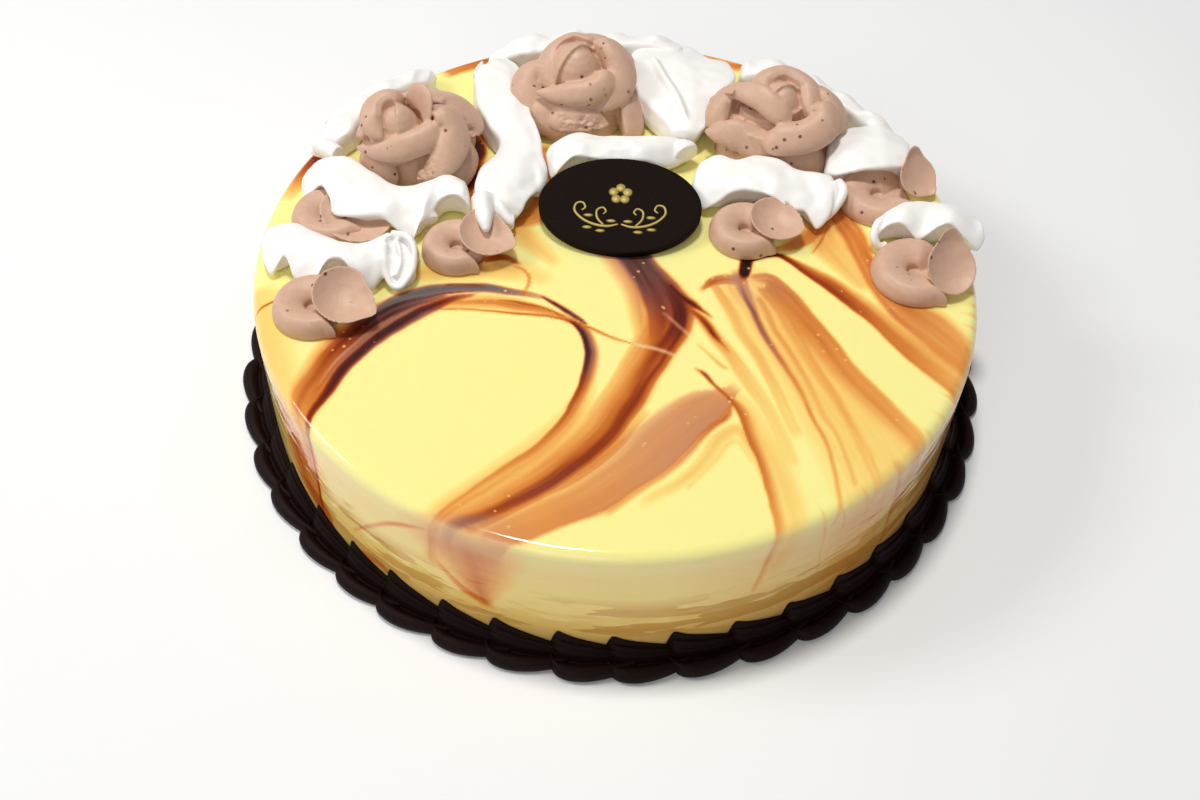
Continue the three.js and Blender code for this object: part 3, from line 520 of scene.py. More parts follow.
# Thin drips down the wall at the right, where the knife left the edge.
chance = np.random.default_rng(12)
for angle in np.radians(np.arange(-57, 32, 2.6)):
    turn, length = angle + chance.uniform(-0.03, 0.03), chance.uniform(8, 36)
    much, wide = chance.uniform(0.14, 0.36), chance.uniform(0.4, 1.3)
    course = ((97, 0.3, 0), (103, 1, 0), (103 + length / 2, 0.9, 0.008), (103 + length, 0.5, 0.004))
    line = []
    for r, share, lean in course:
        x, y = r * math.cos(turn + lean), r * math.sin(turn + lean)
        line.append((x, y, wide * share, much * share, 0.1))
    RIBBONS.append((EVEN, 0.2, line))


def full_station(x, y, width, much, milky=0):
    """A station of a ribbon with its width to the left and to the right."""
    left, right = width if isinstance(width, tuple) else (width, width)
    return x, y, left, right, much, milky


def marble(places):
    """How much cocoa there is at places of the glaze, and how milky it is."""
    flat = np.column_stack([places, np.zeros(len(places))])
    drift = np.column_stack([grain(flat, 9, 1), grain(flat, 9, 2)]) * 0.5
    drift += np.column_stack([grain(flat, 3, 3), grain(flat, 3, 4)]) * 0.12
    cocoa = np.zeros(len(places))
    milk = np.zeros(len(places))
    for number, (tones, streaks, stations) in enumerate(RIBBONS):
        line = smooth_line([full_station(*station) for station in stations], RIBBON_STEP)
        ahead = np.gradient(line[:, :2], axis=0)
        ahead /= np.linalg.norm(ahead, axis=1)[:, None]
        reach = line[:, 2:4].max() + 3
        low, high = line[:, :2].min(0) - reach, line[:, :2].max(0) + reach
        near = np.nonzero(((places > low) & (places < high)).all(1))[0]
        for part in np.array_split(near, max(1, len(near) // 20000)):
            at = places[part] + drift[part]
            apart = at[:, None] - line[None, :, :2]
            nearest = (apart**2).sum(2).argmin(1)
            offset = at - line[nearest, :2]
            forward = (offset * ahead[nearest]).sum(1)
            leftward = offset[:, 1] * ahead[nearest, 0] - offset[:, 0] * ahead[nearest, 1]
            width = np.where(leftward > 0, line[nearest, 2], line[nearest, 3]).clip(0.3)
            beyond = np.where(nearest == 0, -forward, np.where(nearest == len(line) - 1, forward, 0)).clip(0)
            soft = (0.25 * width).clip(0.3, 0.7)
            inside = np.clip((width - np.abs(leftward)) / soft / 2 + 0.5, 0, 1)
            inside = inside * np.clip(1 - beyond / (2 * width).clip(0.5, 3), 0, 1)
            share = np.interp(-leftward / width, *np.array(tones).T)
            along = nearest * RIBBON_STEP / STREAK_LENGTH
            run = np.column_stack([leftward / STREAK_WIDTH, along, np.full(len(part), number * 3.7)])
            streak = 0.6 * grain(run, 1, 5) + 0.4 * grain(run * [2.4, 1, 1], 1, 6)
            amount = np.clip(share * inside * line[nearest, 4] * (1 + 0.7 * streaks * streak), -1, 1)
            cover = np.clip(np.abs(amount) / 0.35, 0, 1)
            milk[part] += (line[nearest, 5] - milk[part]) * cover
            cocoa[part] *= 1 + amount.clip(-1, 0)
            amount = amount.clip(0)
            more, less = np.maximum(cocoa[part], amount), np.minimum(cocoa[part], amount)
            cocoa[part] = more + 0.15 * less * (1 - more)
    return cocoa, milk


glaze, paint, place = finish("marbled_mirror_glaze")
cocoa = paint.node("Attribute", {"attribute_name": "cocoa"}, {}, 2)
milky = paint.node("Attribute", {"attribute_name": "milk"}, {}, 2)
across = place.node("SeparateXYZ", {}, {"Vector": place}, 0)
height = place.node("SeparateXYZ", {}, {"Vector": place}, 2)
pure = cocoa.node("ValToRGB", {"stops": GLAZE_PURE}, {"Fac": cocoa})
clouded = cocoa.node("ValToRGB", {"stops": GLAZE_MILKY}, {"Fac": cocoa})
colour = mixed(milky, pure, clouded)
# Clusters of small bubbles show as pale dots in the cocoa.
froth = place.node("TexVoronoi", {}, {"Vector": place, "Scale": 300})
cluster = ramp(noise(place, 55, 1), 0.47, 0.54)
bubble = ramp(froth, 0.1, 0.17, 0.7, 0) * cluster * ramp(cocoa, 0.3, 0.45)
colour = mixed(bubble, colour, linear(BUBBLE_TONE))
# Painted reflection: the wall darker and warmer towards the foot. Painted shade: darker at the right.
top = CAKE_HEIGHT * MM
tint = height.node("ValToRGB", {"stops": WALL_TONE_AND_REFLECTION}, {"Fac": ramp(height, 0, top)})
on_wall = ramp(height, top - 0.8 * MM, top - 3.5 * MM)
colour = mixed(on_wall, colour, tint, "MULTIPLY")
# Painted shade: the wall darker towards the right.
colour = mixed(on_wall * ramp(across, 15 * MM, 90 * MM), colour, linear(RIGHT_PAINTED_SHADE), "MULTIPLY")
# Painted highlight: a pale band round the rounded edge of the top.
edge = ramp(height, top - 0.2 * MM, top - 1.2 * MM) * ramp(height, top - 8 * MM, top - 2.5 * MM, 0, 0.35)
colour = mixed(edge, colour, linear(EDGE_HIGHLIGHT_TONE))
# Painted reflection: darker patches in streaks low on the wall.
reflection_stretch = place.node("Mapping", {}, {"Vector": place, "Scale": (26, 26, 140)})
low = ramp(height, 6 * MM, 11 * MM) * ramp(height, 27 * MM, 21 * MM)
reflection_patches = low * ramp(noise(reflection_stretch, 1, 3, 0.6), 0.515, 0.53, 0, 0.9)
colour = mixed(reflection_patches, colour, linear(REFLECTION_PATCH_TONE), "MULTIPLY")
waves = place.node("Mapping", {}, {"Vector": place, "Scale": (90, 90, 260)})
ripple = noise(waves, 1, 2) * ramp(height, top - 1 * MM, top - 6 * MM, 0.02, 0.5)
surface(
    paint, Base_Color=colour, Roughness=0.09, Specular_IOR_Level=0.35, Normal=bump(ripple, 1, 0.0006),
    Subsurface_Weight=0.4, Subsurface_Radius=(1, 0.6, 0.3), Subsurface_Scale=0.005,
)
cake = piece("glazed_cake", points, faces, glaze, ["cake"])
spread = np.hypot(points[:, 0], points[:, 1]).clip(1)
fall = np.where(spread > flat_radius - 0.01, CAKE_HEIGHT - points[:, 2], 0)
places = points[:, :2] * ((spread + fall) / spread)[:, None]
for name, values in zip(("cocoa", "milk"), marble(places)):
    cake.data.attributes.new(name, "FLOAT", "POINT").data.foreach_set("value", values.astype(np.float32))


# The border: shells of dark chocolate cream piped with a star nozzle round the foot of the cake. Each
# has a fat ridged head against the wall and a tail that the next head covers.
SHELLS = 41
FIRST_HEAD = 275.5
BORDER_INNER = CAKE_RADIUS + 0.05
BORDER_OUTER = 111.4
BORDER_HEIGHT = 7.8
# The section of a shell, out from the wall and up, as shares. Its upper leaf lies within LEAF.
LEAF = 0.56
RIDGES = [
    (0, 0), (-0.05, 0.5), (0, 1), (0.07, 0.99), (0.13, 0.84), (0.18, 0.87), (0.24, 0.8), (0.29, 0.64),
    (0.34, 0.64), (0.4, 0.48), (0.45, 0.28), (0.5, 0.25), (0.58, 0.38), (0.7, 0.5), (0.83, 0.5), (0.94, 0.4),
    (1, 0.24), (0.98, 0.08), (0.9, 0),
]
# Along a shell, as shares of the space between two heads: place, size, and lift of the leaf.
SHELL_LINE = [
    (-0.5, 0.24, 0.5), (-0.44, 0.55, 1), (-0.38, 0.78, 1.26), (-0.28, 0.93, 1.16), (-0.12, 1, 0.98),
    (0.08, 1, 0.84), (0.3, 0.93, 0.7), (0.54, 0.8, 0.54), (0.78, 0.62, 0.4), (0.95, 0.46, 0.28),
]


def tube(rings):
    """Points and faces of closed rings joined in a row, shut at both ends."""
    rings = np.asarray(rings)
    count = rings.shape[1]
    points = rings.reshape(-1, 3)
    faces = [list(range(count))[::-1], [len(points) - count + j for j in range(count)]]
    for i in range(len(rings) - 1):
        for j in range(count):
            a, b = i * count + j, i * count + (j + 1) % count
            faces.append((a, b, b + count, a + count))
    return points, faces


def joined(parts):
    """Several meshes as one list of points and faces."""
    points, faces, start = [], [], 0
    for some_points, some_faces in parts:
        points.append(some_points)
        faces += [[start + i for i in face] for face in some_faces]
        start += len(some_points)
    return np.vstack(points), faces


def shell(number):
    chance = np.random.default_rng(number)
    swell, rise, slip = chance.uniform(0.95, 1.0), chance.uniform(0.88, 1.0), chance.uniform(-0.05, 0.05)
    ridge = smooth_line([(*r, 0) for r in RIDGES], 0.05)[:, :2]
    leaf = (1 - ridge[:, 0] / LEAF).clip(0, 1)
    rings = []
    for along, size, lift in smooth_line(SHELL_LINE, 0.12):
        angle = math.radians(FIRST_HEAD + (number + along + slip) * 360 / SHELLS)
        radius = BORDER_INNER + (BORDER_OUTER - BORDER_INNER) * size * swell * ridge[:, 0].clip(0)
        lifted = leaf * lift + (1 - leaf) * (0.45 + 0.55 * size)
        height = (ridge[:, 1] * BORDER_HEIGHT * rise * lifted).clip(0)
        rings.append(np.column_stack([radius * math.cos(angle), radius * math.sin(angle), height]))
    return tube(rings)


chocolate, paint, place = finish("piped_dark_chocolate")
fine = noise(place, 900, 3)
tone = mixed(fine, linear((17, 5, 4)), linear((31, 12, 9)))
surface(paint, Base_Color=tone, Roughness=0.6, Specular_IOR_Level=0.14, Normal=bump(fine, 0.3, 0.0003))
points, faces = joined([shell(number) for number in range(SHELLS)])
piece("piped_shell_border", points, faces, chocolate, ["shell_border"])


# The roses: whipped cocoa cream piped with a petal nozzle round a bud on a flower nail, then slid on the
# cake. Each petal is a band that is fat at its foot and rounded over to a crisp, drooping outer lip.
ROSE_SKIN = 0.36
TORN_DEPTH = 1.5
# The outer face of a petal's section, and the bud's outline as shares of its height and radius.
PETAL_FACE = [
    (-0.54, -0.5), (-0.53, -0.1), (-0.44, 0.24), (-0.24, 0.45), (0.02, 0.5), (0.27, 0.42), (0.44, 0.2),
    (0.5, -0.06), (0.46, -0.28), (0.28, -0.42),
]
BUD_DOME = [
    (0.3, 1.02), (0.56, 1.04), (0.72, 0.96), (0.83, 0.8), (0.91, 0.6), (0.965, 0.38), (0.99, 0.2), (1, 0.06),
]
# The bud: height, radius and where its seam faces. The core: mounds that fill the rose, as x, y, radii,
# how much narrower the top is, and height. A petal: width, thickness, slope, depth of the foot, the share
# of its length that each end tapers over, and stations of angle, distance and height. Torn places: x, y,
# height and spread.
ROSES = {
    "rose_left": {
        "at": (-65.5, 33.5), "bud": (22.2, 5.8, 8),
        "core": [(4, 1.6, 14, 9.6, 0.8, 12), (3.5, 1, 11, 7.5, 0.8, 16), (0, 0, 6.8, 6.8, 0.94, 17)],
        "petals": [
            (6.6, 3.4, 34, 7, 0.3, 0.1,
             [(246, 8, 17.6), (205, 7.9, 19.8), (160, 8, 21.4), (120, 7.6, 22.2), (78, 7.4, 21.2)]),
            (8, 2, -66, 3, 0.3, 0.5,
             [(84, 8.2, 18), (62, 9, 21.5), (30, 9.2, 22), (5, 8.8, 18.5), (345, 8.6, 15)]),
            (8, 4, 48, 4, 0.6, 0.1,
             [(203, 12.8, 12), (240, 9.2, 13.8), (285, 8.2, 14.8), (335, 10.2, 15.8), (360, 13, 16.5)]),
            (10, 4.2, 42, 8, 0.25, 0.4,
             [(38, 12.5, 18.5), (12, 15.6, 18.3), (-7, 17.6, 15.3), (-30, 16.5, 11.6), (-62, 12.8, 6.6)]),
            (12, 3, 30, 8, 0.2, 0.25,
             [(98, 13, 16), (70, 17, 15.5), (48, 21.5, 14), (28, 22, 11.5), (14, 21, 9)]),
            (10, 3, 64, 6, 0.3, 0.2, [(176, 10.4, 8), (210, 10, 7.5), (245, 10, 6), (275, 9.6, 5.4)]),
            (9.5, 2.6, 58, 8, 0.3, 0.3, [(22, 19.5, 8), (2, 20.5, 7.5), (-18, 19.5, 5.5), (-42, 16.5, 4)]),
            (9.5, 3.2, 50, 10, 0.2, 0.2, [(182, 10.6, 12), (135, 12, 12.5), (96, 13, 11.5)]),
            (11, 3.4, 60, 8, 0.2, 0.2, [(158, 12, 6), (115, 13.6, 6.4), (76, 15.4, 6.4), (44, 18, 6)]),
        ],
        "torn": [(6, -11.5, 6, 3), (9.5, -9.5, 8, 3.4), (13, -8, 9, 2.6), (20.5, 6, 11, 2.6)],
    },
    "rose_centre": {
        "at": (-14.9, 64.5), "bud": (23.2, 7.6, 138),
        "core": [(0, -2, 15.5, 14.5, 0.74, 12), (2, 0, 10, 9, 0.8, 16), (0, 0, 6.8, 6.8, 0.94, 17)],
        "petals": [
            (7.4, 2.4, 52, 7, 0.25, 0.1,
             [(232, 10.2, 14.2), (190, 9.8, 16.8), (150, 10, 19), (100, 10.6, 20), (50, 11, 19.4)]),
            (7.4, 3.8, 46, 3, 0.55, 0.1,
             [(216, 15, 13.6), (248, 11.6, 14.6), (289, 11, 15.2), (322, 11.2, 16.2), (348, 10.6, 16.8)]),
            (9.8, 3.8, 38, 7, 0.15, 0.35,
             [(62, 10.6, 19.8), (30, 12.6, 20.2), (2, 14.5, 17.6), (-22, 14.4, 14.3), (-60, 13.6, 10.2)]),
            (9, 2.6, 38, 8, 0.2, 0.3, [(96, 11.4, 19.4), (60, 14, 18.6), (30, 15.8, 17), (8, 16.6, 14.6)]),
            (10.4, 3, 40, 8, 0.25, 0.35,
             [(152, 11.5, 14.8), (178, 15.4, 14.4), (200, 16.4, 11.8), (232, 14.8, 7.4)]),
            (9.6, 2.8, 55, 8, 0.25, 0.3,
             [(200, 15.6, 7.4), (224, 16.4, 7), (246, 14.6, 6.4), (266, 13.6, 5.6)]),
            (8.6, 2.4, 44, 0.5, 0.3, 0.4,
             [(236, 15.6, 7.4), (260, 14.6, 8.8), (288, 14.6, 8.6), (310, 17, 6)]),
            (10, 2.6, 52, 8, 0.25, 0.35, [(8, 16, 8.8), (-10, 18, 7.8), (-28, 20.8, 5.8), (-43, 22.4, 3.8)]),
            (9, 3, 48, 9, 0.2, 0.2, [(164, 13, 12.5), (128, 13, 13.4), (95, 13.4, 13.6), (62, 14.4, 13)]),
            (11, 3.4, 60, 8, 0.2, 0.2, [(172, 14, 5.6), (130, 15, 6.2), (85, 15.6, 6.2), (40, 16, 5.6)]),
        ],
        "torn": [(-2, -15, 7, 2.6), (2.5, -15.4, 7.5, 3), (7, -15, 6.5, 2.6), (-16, -6, 8, 2.4)],
    },
    "rose_right": {
        "at": (47.2, 52.5), "bud": (21.8, 6, 120),
        "core": [(-1, -2, 18, 14.5, 0.74, 12), (-2, 1, 13, 9, 0.8, 14), (0, 0, 6.8, 6.8, 0.94, 17)],
        "petals": [
            (6.8, 3.2, 34, 7, 0.2, 0.2,
             [(196, 6.8, 18.6), (140, 8.2, 21), (85, 9.2, 21.2), (28, 9.6, 19.6), (-35, 10.4, 16.6)]),
            (7.6, 3, 40, 0.5, 0.15, 0.5,
             [(292, 7.6, 15.8), (245, 6, 18), (196, 7.2, 19.4), (174, 12, 18.8), (173, 18, 17.4)]),
            (9.6, 4.4, 42, 8, 0.22, 0.15,
             [(240, 12.6, 11.4), (264, 12.8, 12.6), (300, 14, 13.6), (330, 15.2, 15.2), (358, 13.6, 17.6)]),
            (8.6, 3.4, 42, 9, 0.2, 0.3, [(38, 12.6, 17), (10, 15.6, 16), (-6, 17, 13.8), (-22, 17, 11)]),
            (9, 2.8, 46, 8, 0.2, 0.3, [(142, 15, 15.8), (166, 18.2, 15), (182, 19.4, 12.6), (198, 18.4, 9)]),
            (9.6, 3.4, 50, 3, 0.55, 0.2,
             [(194, 23.4, 9), (206, 18.6, 10.4), (222, 14.2, 9.4), (262, 12, 6.4)]),
            (9.6, 2.8, 58, 7, 0.25, 0.3, [(266, 11.8, 5.6), (292, 13.6, 6), (312, 16, 5), (328, 17, 3.6)]),
            (9, 3, 48, 9, 0.2, 0.2, [(152, 12.4, 13), (115, 12.4, 14), (80, 13.2, 13.4), (48, 13.6, 12)]),
            (11, 3.4, 60, 8, 0.2, 0.2,
             [(176, 17, 6), (135, 15.6, 6.4), (90, 15.4, 6.4), (45, 16, 6), (14, 16.6, 5.4)]),
        ],
        "torn": [(-15, -8.5, 7, 2.6), (-13.5, -9.5, 5.5, 2.6), (-19.5, 4, 12.5, 1.8)],
    },
}


def closed_curve(corners, count):
    """A smooth closed outline through corners, as this many points."""
    corners = np.array(corners, float)
    t = np.arange(count) / count * len(corners)
    i = t.astype(int)
    return through(*(corners[(i + k) % len(corners)] for k in (-1, 0, 1, 2)), (t - i)[:, None])


def rose_petal(wide, thick, slope, foot, first_tip, last_tip, stations):
    """A band along stations, its foot this deep below it, tapered over these shares of its length."""
    turned = [(o * math.cos(math.radians(a)), o * math.sin(math.radians(a)), h) for a, o, h in stations]
    line = smooth_line(turned, 0.4)
    share = np.linspace(0, 1, len(line))
    full = np.sin(np.pi / 2 * np.minimum(1, share / first_tip))
    full = full * np.sin(np.pi / 2 * np.minimum(1, (1 - share) / last_tip))
    full = full.clip(0.02) ** 0.7
    ahead = np.gradient(line, axis=0)
    outward = np.column_stack([ahead[:, 1], -ahead[:, 0]])
    outward /= np.linalg.norm(outward, axis=1)[:, None]
    outward *= np.where((outward * line[:, :2]).sum(1) < 0, -1, 1)[:, None]
    cos, sin = math.cos(math.radians(slope)), math.sin(math.radians(slope))
    section = [(u * cos + v * sin, v * cos - u * sin) for u, v in np.array(PETAL_FACE) * (wide, thick)]
    section += [(section[-1][0] - 0.1 * wide, section[-1][1] - foot), (section[0][0], section[0][1] - foot)]
    section = closed_curve(section, 40)
    return tube([
        np.column_stack([at[:2] + out * section[:, :1] * size, at[2] + section[:, 1] * size])
        for at, out, size in zip(line, outward, full)
    ])


def rose_bud(top, radius, seam):
    """A dome, and half a larger one that wraps it up to a straight seam."""
    turn = np.radians(np.arange(0, 360, 6))
    parts = []
    for grown in (0, 1.1):
        rings = []
        for up, out in BUD_DOME:
            x, y = (radius + grown) * out * np.cos(turn), (radius + grown) * out * np.sin(turn)
            x = x.clip(0) if grown else x
            rings.append(np.column_stack([x, y, np.full(len(turn), (top + grown) * up)]))
        points, faces = tube(rings)
        parts.append((points @ np.array(Matrix.Rotation(-math.radians(seam), 3, "Z")), faces))
    return joined(parts)


def mound(x, y, radius_x, radius_y, taper, top):
    turn = np.radians(np.arange(0, 360, 10))
    rings = []
    for size, z in ((1, 0), (taper, top)):
        out_x, out_y = radius_x * size * np.cos(turn), radius_y * size * np.sin(turn)
        rings.append(np.column_stack([x + out_x, y + out_y, np.full(len(turn), float(z))]))
    return tube(rings)


def fused(made, voxel, smoothing):
    """The overlapping bodies of a mesh as one skin, softened a little."""
    bpy.context.view_layer.objects.active = made
    remesh = made.modifiers.new("skin", "REMESH")
    remesh.mode = "VOXEL"
    remesh.voxel_size = voxel * MM
    remesh.use_smooth_shade = True
    soft = made.modifiers.new("soft", "SMOOTH")
    soft.factor = 0.5
    soft.iterations = smoothing
    bpy.context.view_layer.update()
    mesh = bpy.data.meshes.new_from_object(made.evaluated_get(bpy.context.evaluated_depsgraph_get()))
    made.modifiers.clear()
    made.data = mesh
    return made


def roughened(made, patches, reach, size, seed):
    """Lumps and pits of this size over the skin, at full height in the middle of the patches."""
    count = len(made.data.vertices)
    points, normals = np.empty(count * 3, np.float32), np.empty(count * 3, np.float32)
    made.data.vertices.foreach_get("co", points)
    made.data.vertices.foreach_get("normal", normals)
    points, normals = points.reshape(-1, 3) / MM, normals.reshape(-1, 3)
    share = np.zeros(count)
    for *at, spread in patches:
        share = np.maximum(share, np.exp(-(((points - at) / spread) ** 2).sum(1)))
    lumps = 0.6 * grain(points, size, seed) + 0.4 * grain(points, size / 2, seed + 1)
    points += normals * (reach * share * (lumps - 0.35))[:, None]
    made.data.vertices.foreach_set("co", (points * MM).ravel())
    made.data.update()


cream, paint, place = finish("whipped_cocoa_cream")
lumps = noise(place, 420, 4, 0.6)
fine = noise(place, 2600, 2)
tone = mixed(lumps, linear((203, 164, 140)), linear((222, 186, 162)))
# Burst air bubbles leave pits, only in patches, dented, and darkened as painted shade.
cells = place.node("TexVoronoi", {}, {"Vector": place, "Scale": 300})
patches = ramp(noise(place, 130, 1), 0.54, 0.58)
whole = paint.sum("MAXIMUM", ramp(cells, 0.12, 0.2), 1 - patches)
tone = mixed(whole, linear((120, 78, 60)), tone)
relief = bump(lumps * 0.5 + fine * 0.25 + whole * 0.6, 0.5, 0.0005)
surface(paint, Base_Color=tone, Roughness=0.42, Specular_IOR_Level=0.35, Normal=relief)
for name, rose in ROSES.items():
    parts = [rose_petal(*petal) for petal in rose["petals"]]
    parts += [rose_bud(*rose["bud"])] + [mound(*block) for block in rose["core"]]
    points, faces = joined(parts)
    x, y = rose["at"]
    points = points + (x, y, CAKE_HEIGHT)
    points[:, 2] = points[:, 2].clip(CAKE_HEIGHT)
    made = fused(piece("piped_" + name, points, faces, cream, [name]), ROSE_SKIN, 2)
    torn = [(x + dx, y + dy, CAKE_HEIGHT + z, spread) for dx, dy, z, spread in rose["torn"]]
    roughened(made, torn, TORN_DEPTH, 1.5, 21)


# The blossoms: two petals of the same cocoa cream, piped straight on the glaze. The broad one is swept
# round a small hole, and the small one is a thin dish with a crisp rim, laid over its end.
BLOSSOM_SKIN = 0.3
BROAD_RIM = 5.4
# The section of a broad petal, out from its hole and up, as shares of its radius and rim.
BROAD_ACROSS = [
    (0.22, 0.05), (0.19, 0.42), (0.24, 0.62), (0.36, 0.79), (0.51, 0.92), (0.65, 0.99), (0.8, 0.97),
    (0.92, 0.74), (0.99, 0.4), (1, 0.18), (0.95, 0), (0.5, 0), (0.25, 0),
]
# The broad petal: place, radius, where it starts and how far it is swept, in degrees. The small one:
# place, radius, where its raised side points, its lean, lift and depth, and the peaks of its outline.
BLOSSOMS = {
    "front_left": (
        ((-82, -26), 10.9, 44, 266),
        ((-73.6, -25), 8.6, 118, 20, 4, 3.8, [(-26, 0.22, 16), (34, -0.16, 26)]),
    ),
    "back_left": (((-82.5, 9.5), 11.4, 46, 284), ((-74.6, 8.6), 10.6, 118, 12, 3.2, 2.4, [(170, 0.06, 25)])),
    "middle_left": (
        ((-45.5, -0.5), 9.9, 34, 278),
        ((-37.6, 1.2), 7.9, 140, 12, 3.6, 3.4, [(122, 0.1, 24), (-20, 0.18, 18), (40, -0.12, 26)]),
    ),
    "middle_right": (
        ((36.5, 11.8), 10.4, 22, 299),
        ((44.6, 12.8), 7.9, 134, 10, 3.6, 3.4, [(-24, 0.1, 20), (40, -0.1, 26)]),
    ),
    "back_right": (
        ((76.5, 29.5), 12.2, 40, 296),
        ((87.2, 34.8), 6.2, 120, 42, 4.8, 2.2, [(112, 0.5, 22), (-30, 0.2, 18)]),
    ),
    "front_right": (((84, -1.8), 12.4, 36, 270), ((92, -3.4), 7.8, 118, 38, 5, 3.2, [(100, 0.45, 24)])),
}


def broad_petal(at, radius, start, turn):
    rings = []
    for share in np.linspace(0, 1, 90):
        angle = math.radians(start + turn * share)
        swell = math.sin(math.pi / 2 * min(1, (1 - share) / 0.1 + 0.5))
        swell *= math.sin(math.pi / 2 * min(1, share / 0.2 + 0.2))
        out = radius * (0.88 + 0.12 * swell + 0.16 * max(0, share - 0.95) / 0.05)
        section = [(r * out, z * BROAD_RIM * (swell if z else 1)) for r, z in BROAD_ACROSS]
        r, z = closed_curve(section, 48).T
        rings.append(np.column_stack([r * math.cos(angle), r * math.sin(angle), z.clip(0)]))
    inside = math.radians(start + turn / 2 + 180)
    x, y = radius * 0.28 * math.cos(inside), radius * 0.28 * math.sin(inside)
    points, faces = joined([tube(rings), mound(x, y, radius * 0.54, radius * 0.54, 0.86, 0.9)])
    return points + (*at, CAKE_HEIGHT), faces


def small_petal(at, radius, raised, lean, lift, dish, peaks):
    """A dish that leans up towards one side, its outline drawn out to peaks: direction, how far, how wide."""
    turn = np.radians(np.arange(0, 360, 4))
    reach = np.ones(len(turn)) * radius
    for direction, far, wide in peaks:
        apart = (np.degrees(turn) - direction + 180) % 360 - 180
        reach *= 1 + far * np.exp(-((apart / wide) ** 2))
    rings = []
    for side, shares in ((1, np.linspace(0.02, 1, 18)), (0, np.linspace(1, 0.02, 18))):
        for share in shares:
            thick = 0.75 + 0.9 * (1 - share**2)
            edge = 1 if share < 0.95 else 0.5 + 0.5 * math.sqrt((1 - share) / 0.05)
            up = np.full(len(turn), dish * share**2.2 + thick * ((edge if side else 1 - edge) - 0.5))
            rings.append(np.column_stack([reach * share * np.cos(turn), reach * share * np.sin(turn), up]))
    points, faces = tube(rings)
    points[:, 2] += (np.hypot(points[:, 0], points[:, 1]) - radius).clip(0) * 0.35
    aim = math.radians(raised)
    axis = Vector((math.sin(aim), -math.cos(aim), 0))
    points = points @ np.array(Matrix.Rotation(math.radians(lean), 3, axis)).T
    post = mound(2.4 * math.cos(aim), 2.4 * math.sin(aim), 3.2, 3.2, 0.9, lift - 1)
    points, faces = joined([(points + (0, 0, lift), faces), post])
    return points + (*at, CAKE_HEIGHT), faces


for name, (broad, small) in BLOSSOMS.items():
    for kind, (points, faces) in (("broad", broad_petal(*broad)), ("small", small_petal(*small))):
        points[:, 2] = points[:, 2].clip(CAKE_HEIGHT)
        nodes = [f"blossom_{name}_{kind}"]
        made = piece(f"piped_{name}_{kind}_petal", points, faces, cream, nodes)
        fused(made, BLOSSOM_SKIN, 2)


# The ruffles: ribbons of white cream piped flat with a wide nozzle, fast at the back, where they lie
# down, and slowly at the free lip, which swells in lobes and hangs over the petals.
RUFFLE_SKIN = 0.42
LIP = 1.5
BULGE = 1.1
